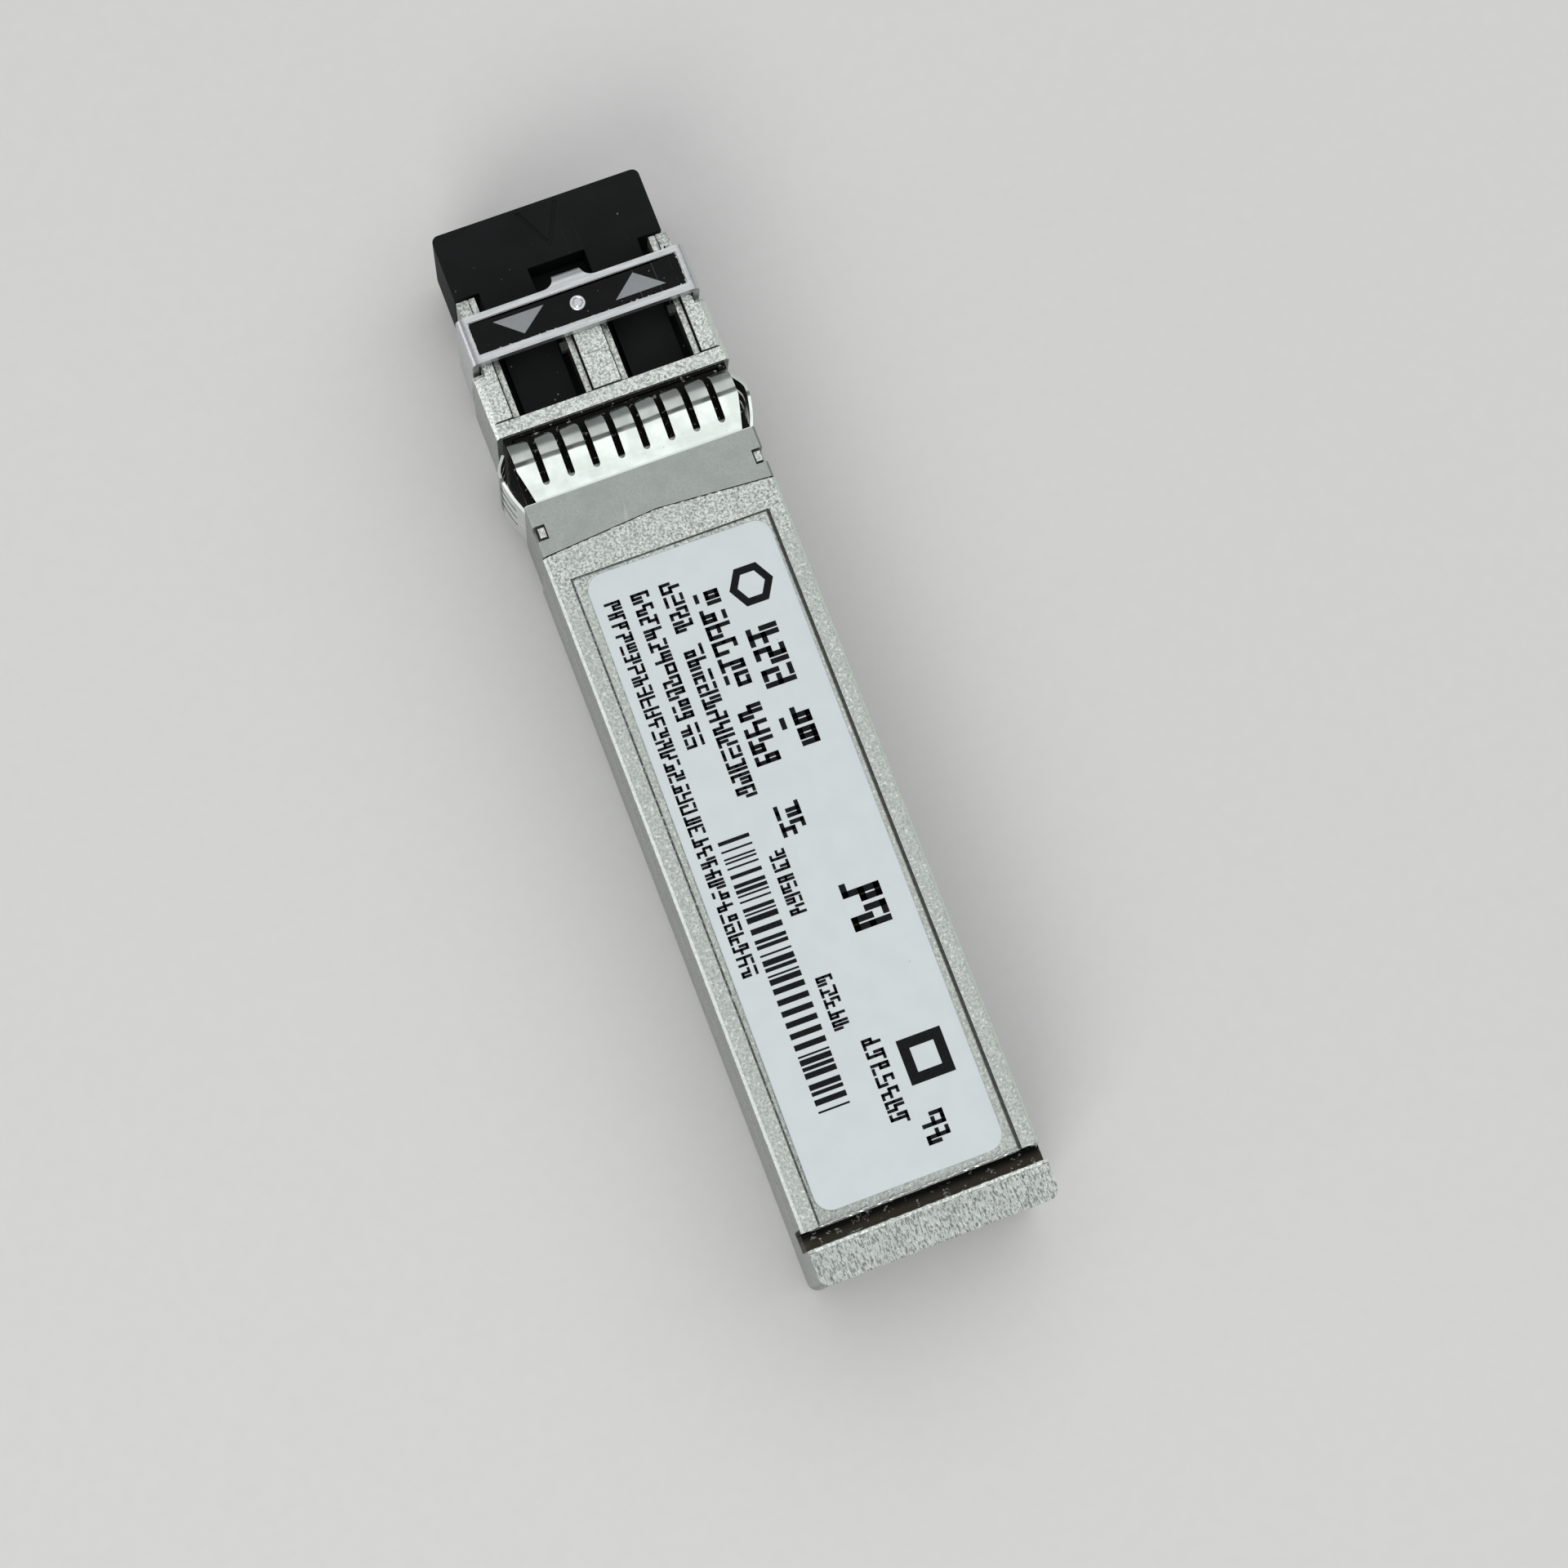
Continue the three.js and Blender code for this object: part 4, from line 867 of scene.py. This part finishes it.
class TransceiverBoard(bpy.types.PropertyGroup):
    """Circuit board and optics."""

    mask: colour_property("Solder mask", "Board lacquer", (0.012, 0.12, 0.045))
    gold: colour_property("Gold", "Contact plating", (0.83, 0.6, 0.22))
    pitch: length_property("Pitch", "Distance between edge contacts", 0.8)
    count: bpy.props.IntProperty(name="Contacts", description="Contacts on each face", default=10, min=1)


class TransceiverStudio(bpy.types.PropertyGroup):
    """Floor, lights and camera."""

    floor: colour_property("Floor", "Pale floor", (0.74, 0.735, 0.72))
    lens: bpy.props.FloatProperty(
        name="Lens", description="Focal length on a 36 mm sensor", default=75, min=10,
        unit="CAMERA",
    )
    key: power_property("Key", "Power of the overhead softbox", 1.75)
    glint: power_property("Glint", "Power of the rear softbox", 0.95)
    rim: power_property("Rim", "Power of the low side softbox", 0.2)


# ------------------------------------------------------------------ shell


class TRANSCEIVER_OT_castings(bpy.types.Operator):
    """Make the cover and the base casting with rounded edges and sanded grain"""

    bl_idname = "transceiver.castings"
    bl_label = "Castings"

    def execute(self, context):
        shell = context.scene.transceiver_shell
        cover_finish = cast_zinc(
            "cover_zinc", tuple(shell.zinc), shell.grain, 0.05, 0.46, shade_painting=cover_painted_shade,
            rubbed=POCKET_FRONT,
        )
        base_finish = cast_zinc(
            "base_zinc", tuple(shell.nose_zinc), shell.grain, 0.04, 0.4, hammered=END_BAR + 0.16,
            shade_painting=nose_painted_shade,
        )
        cover = softened("top_cover", "cover_shell", shell.edge, weld=0)
        place(cover, "module", "cast_zinc", cover_finish, "top_cover")
        base = softened("base_housing", "base_shell", shell.edge)
        place(base, "module", "cast_zinc", base_finish, "base_housing")
        coat(base_finish, "barrel_retainer")
        return {"FINISHED"}


class TRANSCEIVER_OT_burrs(bpy.types.Operator):
    """Add the serrated burrs on the cover's rear and front edges and the lip on the end bar"""

    bl_idname = "transceiver.burrs"
    bl_label = "Burrs and lips"

    def execute(self, context):
        shell = context.scene.transceiver_shell
        finish = cast_zinc("burr_zinc", shade(tuple(shell.nose_zinc), 1.12), 9.0, 0.012, 0.36)
        half, inner, corner = COVER_HIGH[0], POCKET_HALF, 0.15
        rail = COVER_TOP - 0.05
        rise = CHEVRON_SIDE - CHEVRON_TIP
        slope = np.array([rise, half, 0]) / math.hypot(rise, half)
        tip, side = CHEVRON_TIP + 0.04, CHEVRON_SIDE + 0.04
        floor, left, right = COVER_END - 0.03, COVER_END - 0.06, COVER_END - 0.05
        parts = [
            ridge((-inner, floor, POCKET_FLOOR), (inner, floor, POCKET_FLOOR), 0.13, 0.09, 0.55, 3),
            ridge((corner - half, left, rail), (-inner, left, rail), 0.16, 0.07, 0.3, 4, steps=24),
            ridge((inner, right, rail), (half - corner, right, rail), 0.13, 0.05, 0.4, 5, steps=24),
            ridge((corner - half, side, rail), (0, tip, rail), 0.12, 0.05, 0.4, 9, across=slope),
            ridge(
                (0, tip, rail), (half - corner, side, rail), 0.12, 0.05, 0.4, 10,
                across=slope * (-1, 1, 1),
            ),
        ]
        burr = new_piece("cover_rear_burr", *joined(parts))
        place(burr, "module", "cast_zinc", finish)
        front, top, half = END_BAR + 0.09, BASE_HIGH[2] - 0.1, BASE_HIGH[0]
        nub = front - 0.02
        parts = [
            ridge((0.1 - half, front, top), (half - 0.1, front, top), 0.24, 0.06, 0.12, 6),
            ridge((0.04 - half, nub, top), (0.5 - half, nub, top), 0.22, 0.08, 0.2, 7, steps=20),
            ridge((half - 0.42, nub, top), (half - 0.04, nub, top), 0.22, 0.08, 0.2, 8, steps=20),
        ]
        lip = new_piece("end_bar_lip", *joined(parts))
        place(lip, "module", "cast_zinc", finish)
        return {"FINISHED"}


class TRANSCEIVER_OT_collar(bpy.types.Operator):
    """Make the polished spring collar and the latch's leaf spring"""

    bl_idname = "transceiver.collar"
    bl_label = "Spring collar"

    def execute(self, context):
        shell = context.scene.transceiver_shell
        finish = polished_spring("collar_steel", tuple(shell.spring))
        collar = softened("emi_collar", "spring_collar", 0.0, weld=0.006, smooth_angle=30)
        place(collar, "module", "spring_steel", finish, "emi_collar")
        leaf = softened("latch_spring", "leaf_spring", 0.0, weld=0, smooth_angle=50)
        place(leaf, "module", "spring_steel", finish, "latch_spring")
        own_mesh(leaf)
        return {"FINISHED"}


# ------------------------------------------------------------------ markings


# Half strokes of a unit cell, as (along, across, length along, length across): two
# upper and two lower halves of three uprights, and left and right halves of three bars
STROKES = np.array([
    (along, across, 0.0, 0.5) for along in (0.0, 0.5, 1.0) for across in (0.25, 0.75)
] + [
    (along, across, 0.5, 0.0) for across in (0.0, 0.5, 1.0) for along in (0.25, 0.75)
])


def word(start, centre, length, height, generator):
    """Centres and sizes of the strokes of one line of unreadable marks. Each mark is a
    seeded choice of half strokes in a cell, so that the line has the grey of print."""
    pitch = height * 0.82
    cell = np.array([height * 0.5, height])
    stroke = height * 0.2
    starts = start + np.arange(int(length / pitch)) * pitch
    starts = starts[generator.uniform(size=len(starts)) > 0.1]
    order = generator.permuted(np.tile(np.arange(len(STROKES)), (len(starts), 1)), axis=1)[:, :6]
    chosen = STROKES[order]
    along = starts[:, None] + stroke / 2 + chosen[..., 0] * cell[0]
    across = centre - height / 2 + chosen[..., 1] * cell[1]
    sizes = chosen[..., 2:] * cell + stroke
    positions = np.stack([across, along], axis=-1).reshape(-1, 2)
    return positions, sizes[..., ::-1].reshape(-1, 2)


def turned_plan(points, centre, angle):
    """Points turned about an upright axis through the centre by the angle in radians."""
    cosine, sine = math.cos(angle), math.sin(angle)
    points = np.array(points, float)
    x, y = points[:, 0] - centre[0], points[:, 1] - centre[1]
    points[:, 0] = centre[0] + x * cosine - y * sine
    points[:, 1] = centre[1] + x * sine + y * cosine
    return points


def bars(start, length, low, high, generator, module=0.105):
    """A row of bars of one to three module widths with like gaps."""
    widths = module * generator.integers(1, 4, int(length / module / 4))
    gaps = module * generator.integers(1, 4, len(widths))
    starts = start + np.cumsum(widths + gaps) - widths - gaps
    positions = np.column_stack([np.full(len(widths), (low + high) / 2), starts + widths / 2])
    return positions, np.column_stack([np.full(len(widths), high - low), widths])


# Lines of print: how far from the label's first long edge, where along it, length, height
PRINT_LINES = (
    (2.45, 5.6, 7.2, 1.45),
    (4.6, 1.9, 16.0, 1.15),
    (6.3, 1.7, 12.8, 0.9),
    (7.95, 1.7, 9.3, 0.85),
    (9.5, 1.7, 22.6, 0.75),
    (5.95, 17.3, 4.3, 0.75),
    (2.45, 20.2, 4.2, 1.75),
    (5.95, 24.4, 3.4, 0.75),
    (4.8, 28.3, 4.9, 0.85),
    (3.2, 33.0, 1.9, 1.1),
)


class TRANSCEIVER_OT_label(bpy.types.Operator):
    """Make the label and its generic print: strokes in lines, a bar pattern and two symbols"""

    bl_idname = "transceiver.label"
    bl_label = "Label"

    def execute(self, context):
        marks = context.scene.transceiver_marks
        paper = label_film("label_film", tuple(marks.paper))
        ink = printed_ink("label_ink", tuple(marks.ink))
        low, high = LABEL_LOW, LABEL_HIGH
        top = high[2]
        middle = (low + high) / 2
        outline = along_edges(rounded_rectangle(low, high, marks.corner), 0.6)
        outline = turned_plan(outline, middle, marks.skew)
        sheet = new_piece("label_sheet", *plate(outline, [
            (0.02, low[2]), (0.0, low[2] + 0.02), (0.0, top - 0.045), (0.03, top - 0.012),
            (0.09, top), (0.5, top),
        ]))
        place(sheet, "module", "label_film", paper, "product_label")

        generator = np.random.default_rng(marks.seed)
        lines = [
            word(start, centre, length, height, generator)
            for centre, start, length, height in PRINT_LINES
        ]
        lines.append(bars(15.9, 14.8, 6.95, 8.7, generator))
        positions = np.concatenate([line[0] for line in lines])
        sizes = np.concatenate([line[1] for line in lines])
        centres = np.column_stack([
            low[0] + positions[:, 0], low[1] + positions[:, 1],
            np.full(len(positions), top + PRINT_THICKNESS / 2 - PRINT_SINK),
        ])
        blocks = np.column_stack([sizes, np.full(len(sizes), PRINT_THICKNESS)])
        points, faces = joined([slabs(centres, blocks), *self.symbols(low, top)])
        print_piece = new_piece("label_print", turned_plan(points, middle, marks.skew), faces)
        place(print_piece, "module", "label_film", ink)
        return {"FINISHED"}

    @staticmethod
    def symbols(low, top):
        """A six-sided ring and a pierced square: each is a band of quads between an
        outer and an inner outline, given its thickness."""
        shapes = []
        for centre, outer, inner, sides, first in (
            ((2.1, 3.3), 1.25, 0.78, 6, 0.0), ((2.35, 30.2), 1.75, 0.95, 4, math.pi / 4),
        ):
            turn = first + np.linspace(0, 2 * math.pi, sides + 1)[:-1]
            unit = np.column_stack([np.cos(turn), np.sin(turn)])
            middle = np.array([low[0] + centre[0], low[1] + centre[1]])
            floor, ceiling = top - PRINT_SINK, top - PRINT_SINK + PRINT_THICKNESS
            rings = [
                np.column_stack([middle + unit * radius, np.full(sides, height)])
                for radius, height in (
                    (inner, floor), (outer, floor), (outer, ceiling), (inner, ceiling),
                )
            ]
            faces = grid_faces(len(rings) + 1, sides) % (len(rings) * sides)
            shapes.append((np.concatenate(rings), faces.tolist()))
        return shapes


class TRANSCEIVER_OT_bail_marks(bpy.types.Operator):
    """Make the bail's black film with its worn edge, two triangles and the bright pip"""

    bl_idname = "transceiver.bail_marks"
    bl_label = "Bail markings"

    def execute(self, context):
        marks = context.scene.transceiver_marks
        latch = context.scene.transceiver_latch
        film = black_film("bail_film", tuple(marks.film))
        grey = grey_print("arrow_print", tuple(marks.arrow))
        steel = stamped_steel("pip_steel", shade(tuple(latch.steel), 1.3))
        low, high = FILM_LOW, FILM_HIGH
        top = high[2]
        outline = along_edges(rounded_rectangle(low, high, 0.06, 3), 0.07)
        generator = np.random.default_rng(5)
        ragged = generator.normal(0, 1, len(outline))
        ragged = (ragged + np.roll(ragged, 1) + np.roll(ragged, 2)) / 3
        nibbles = np.where(generator.uniform(size=len(outline)) < 0.05, 0.07, 0.0)
        outline = outline - outward(outline) * (0.02 + np.abs(ragged) * 0.028 + nibbles)[:, None]
        sheet = new_piece("bail_film", *plate(outline, [
            (0.0, low[2]), (0.0, top - 0.02), (0.02, top),
        ]))
        place(sheet, "bail", "black_film", film, "bail_label")

        middle = (low[1] + high[1]) / 2
        triangles = []
        for centre, sign in ((3.22, 1), (-3.45, -1)):
            corners = np.array([
                (centre - 1.45 * sign, middle - 0.55 * sign),
                (centre + 1.45 * sign, middle - 0.55 * sign),
                (centre + 0.05, middle + 0.62 * sign),
            ])
            triangles.append(plate(along_edges(corners, 0.2), [
                (0.0, top - 0.005), (0.0, top + 0.008), (0.015, top + 0.012),
            ]))
        arrows = new_piece("bail_arrows", *joined(triangles))
        place(arrows, "bail", "label_film", grey)

        pip = new_piece("bail_pip", *joined([
            torus((0.0, PIP, top), 0.36, 0.075), dome((0.0, PIP, top - 0.03), 0.3, 0.09),
        ]))
        place(pip, "bail", "stamped_steel", steel)
        return {"FINISHED"}


# ------------------------------------------------------------------ latch and plug


class TRANSCEIVER_OT_latch(bpy.types.Operator):
    """Make the bail, the latch lever and its pin"""

    bl_idname = "transceiver.latch"
    bl_label = "Bail and latch"

    def execute(self, context):
        latch = context.scene.transceiver_latch
        steel = stamped_steel("bail_steel", tuple(latch.steel))
        zinc = cast_zinc("lever_zinc", tuple(latch.lever), 7.0, 0.02, 0.42)
        bail = softened("bail", "bail_frame", latch.edge)
        place(bail, "bail", "stamped_steel", steel, "bail")
        lever = softened("latch_lever", "lever_casting", latch.edge)
        place(lever, "latch", "cast_zinc", zinc, "latch_lever")
        coat(steel, "latch_pivot_pin")
        return {"FINISHED"}


class TRANSCEIVER_OT_plug(bpy.types.Operator):
    """Make the dust plug with its soft edges"""

    bl_idname = "transceiver.plug"
    bl_label = "Dust plug"

    def execute(self, context):
        latch = context.scene.transceiver_latch
        rubber = moulded_rubber("plug_rubber", tuple(latch.rubber))
        plug = softened("dust_plug", "plug_moulding", latch.plug_edge, 3, weld=0.05)
        place(plug, "plug", "dust_rubber", rubber, "dust_plug")
        return {"FINISHED"}


# ------------------------------------------------------------------ board and optics


class TRANSCEIVER_OT_board(bpy.types.Operator):
    """Give the circuit board and its chips their finishes and add the gold contacts"""

    bl_idname = "transceiver.board"
    bl_label = "Board"

    def execute(self, context):
        board = context.scene.transceiver_board
        laminate = board_laminate("solder_mask", tuple(board.mask), (0.35, 0.33, 0.16))
        coat(laminate, "circuit_board")
        gold = gold_plate("contact_gold", tuple(board.gold))
        rank = np.arange(board.count)
        across = (rank - (board.count - 1) / 2) * board.pitch
        length = np.where(np.isin(rank, (0, board.count // 2, board.count - 1)), 4.2, 3.6)
        rear = BOARD_HIGH[1] - 0.35
        parts = []
        for height in (BOARD_LOW[2] - 0.012, BOARD_HIGH[2] + 0.012):
            for x, long in zip(across, length):
                pad = rounded_rectangle((x - 0.27, rear - long), (x + 0.27, rear), 0.08, 4)
                parts.append(plate(pad, [
                    (0.0, height - 0.015), (0.0, height + 0.006), (0.02, height + 0.018),
                ] if height > BOARD_LOW[2] else [
                    (0.02, height - 0.018), (0.0, height - 0.006), (0.0, height + 0.015),
                ]))
        contacts = new_piece("edge_contacts", *joined(parts))
        place(contacts, "module", "optics_steel", gold)

        resin = moulded_solid("chip_resin", (0.018, 0.018, 0.02), 0.5, 9.0)
        ferrite = moulded_solid("inductor_ferrite", (0.075, 0.075, 0.08), 0.6, 7.0)
        pad = moulded_solid("gap_pad", (0.27, 0.34, 0.46), 0.68, 5.0, 0.02)
        absorber = moulded_solid("absorber_rubber", (0.03, 0.03, 0.032), 0.75, 6.0, 0.02)
        coat(resin, "transmit_retimer", "receive_retimer", "microcontroller", "memory_chip")
        coat(ferrite, "power_inductor_1", "power_inductor_2")
        coat(pad, "thermal_pad_1", "thermal_pad_2")
        coat(absorber, "absorber_sheet")
        for index in range(1, 7):
            node = f"capacitor_{index}"
            low, high = span(node)
            middle, half = (low[0] + high[0]) / 2, (high[0] - low[0]) / 2
            fired, tin = (0.3, 0.17, 0.09), (0.6, 0.6, 0.58)
            coat(tinned_ends(f"{node}_body", fired, tin, middle, half * 0.55), node)
        return {"FINISHED"}


class TRANSCEIVER_OT_optics(bpy.types.Operator):
    """Give the optical cans, barrels and flexible circuits their finishes"""

    bl_idname = "transceiver.optics"
    bl_label = "Optics"

    def execute(self, context):
        can = turned_metal("can_metal", (0.72, 0.6, 0.32), 0.22)
        barrel = moulded_solid("barrel_ceramic", (0.7, 0.7, 0.65), 0.3, 8.0, 0.003, 1.15)
        flex = moulded_solid("flex_polyimide", (0.42, 0.17, 0.03), 0.3, 4.0, 0.006)
        for kind, material in (("can", can), ("barrel", barrel), ("flex", flex)):
            coat(material, f"transmit_{kind}", f"receive_{kind}")
        return {"FINISHED"}


# ------------------------------------------------------------------ studio


def softbox(name, position, target, size, power, colour):
    """Area light at a position in millimetres, turned to face the target."""
    light = bpy.data.lights.new(name, "AREA")
    light.shape = "RECTANGLE"
    light.size, light.size_y = size[0] * MM, size[1] * MM
    light.energy = power
    light.color = colour
    lamp = bpy.data.objects.new(name, light)
    lamp.location = Vector(position) * MM
    aim = (Vector(target) - Vector(position)).normalized()
    lamp.rotation_mode = "QUATERNION"
    lamp.rotation_quaternion = aim.to_track_quat("-Z", "Y")
    bpy.context.scene.collection.objects.link(lamp)


FLOOR_REACH = 900
# The camera's place in millimetres, the way it looks, and roughly up in its picture
CAMERA_PLACE = (19.69, 28.69, 178.58)
CAMERA_FORWARD = (-0.11945, -0.14920, -0.98157)
CAMERA_UP = (-0.34464, -0.92094, 0.18193)


class TRANSCEIVER_OT_studio(bpy.types.Operator):
    """Make the pale floor, the softboxes and the camera"""

    bl_idname = "transceiver.studio"
    bl_label = "Studio"

    def execute(self, context):
        studio = context.scene.transceiver_studio
        ground = CAD_BOX[0][2] / MM
        outline = rounded_rectangle((-FLOOR_REACH, -FLOOR_REACH), (FLOOR_REACH, FLOOR_REACH), 50)
        floor = new_piece("studio_floor", *plate(outline, [(0, ground - 6), (0, ground)]))
        floor.data.materials.append(plain_floor("floor_paper", tuple(studio.floor)))

        middle = (0, 0, 4)
        for name, position, size, power, tint in (
            ("overhead_softbox", (-120, -100, 430), (820, 820), studio.key, (1.0, 1.0, 0.99)),
            ("rear_softbox", (250, 330, 330), (300, 260), studio.glint, (1.0, 1.0, 0.985)),
            ("edge_softbox", (430, -66, 62), (200, 110), studio.rim, (1.0, 1.0, 1.0)),
        ):
            softbox(name, position, middle, size, power, tint)

        world = bpy.data.worlds.new("studio_world")
        context.scene.world = world
        world.use_nodes = True
        background = world.node_tree.nodes["Background"]
        background.inputs["Color"].default_value = (0.83, 0.86, 0.9, 1)
        background.inputs["Strength"].default_value = 0.34

        camera = bpy.data.cameras.new("studio_camera")
        camera.sensor_width = 36
        camera.lens = studio.lens
        camera.clip_start, camera.clip_end = 0.005, 20
        viewer = bpy.data.objects.new("studio_camera", camera)
        context.scene.collection.objects.link(viewer)
        forward = Vector(CAMERA_FORWARD).normalized()
        right = forward.cross(Vector(CAMERA_UP)).normalized()
        up = right.cross(forward).normalized()
        turn = Matrix((right, up, -forward)).transposed().to_4x4()
        viewer.matrix_world = Matrix.Translation(Vector(CAMERA_PLACE) * MM) @ turn
        context.scene.camera = viewer
        context.scene.view_settings.view_transform = "Standard"
        return {"FINISHED"}


# ------------------------------------------------------------------ registration


OPERATORS = (
    TRANSCEIVER_OT_castings,
    TRANSCEIVER_OT_burrs,
    TRANSCEIVER_OT_collar,
    TRANSCEIVER_OT_label,
    TRANSCEIVER_OT_latch,
    TRANSCEIVER_OT_bail_marks,
    TRANSCEIVER_OT_plug,
    TRANSCEIVER_OT_board,
    TRANSCEIVER_OT_optics,
    TRANSCEIVER_OT_studio,
)

SETTINGS = {
    "transceiver_shell": TransceiverShell,
    "transceiver_marks": TransceiverMarks,
    "transceiver_latch": TransceiverLatch,
    "transceiver_board": TransceiverBoard,
    "transceiver_studio": TransceiverStudio,
}


class TRANSCEIVER_PT_sidebar(bpy.types.Panel):
    """Lists the pieces and their settings"""

    bl_idname = "TRANSCEIVER_PT_sidebar"
    bl_label = "Optical transceiver"
    bl_space_type = "VIEW_3D"
    bl_region_type = "UI"
    bl_category = "Transceiver"

    def draw(self, context):
        for operator in OPERATORS:
            self.layout.operator(operator.bl_idname)
        for name, group in SETTINGS.items():
            box = self.layout.box()
            for key in group.__annotations__:
                box.prop(getattr(context.scene, name), key)


def register():
    for group in SETTINGS.values():
        bpy.utils.register_class(group)
    for name, group in SETTINGS.items():
        setattr(bpy.types.Scene, name, bpy.props.PointerProperty(type=group))
    for operator in OPERATORS:
        bpy.utils.register_class(operator)
    bpy.utils.register_class(TRANSCEIVER_PT_sidebar)


def unregister():
    bpy.utils.unregister_class(TRANSCEIVER_PT_sidebar)
    for operator in reversed(OPERATORS):
        bpy.utils.unregister_class(operator)
    for name, group in SETTINGS.items():
        delattr(bpy.types.Scene, name)
        bpy.utils.unregister_class(group)


def main():
    register()
    for operator in OPERATORS:
        group, name = operator.bl_idname.split(".")
        getattr(getattr(bpy.ops, group), name)()


if __name__ == "__main__":
    main()
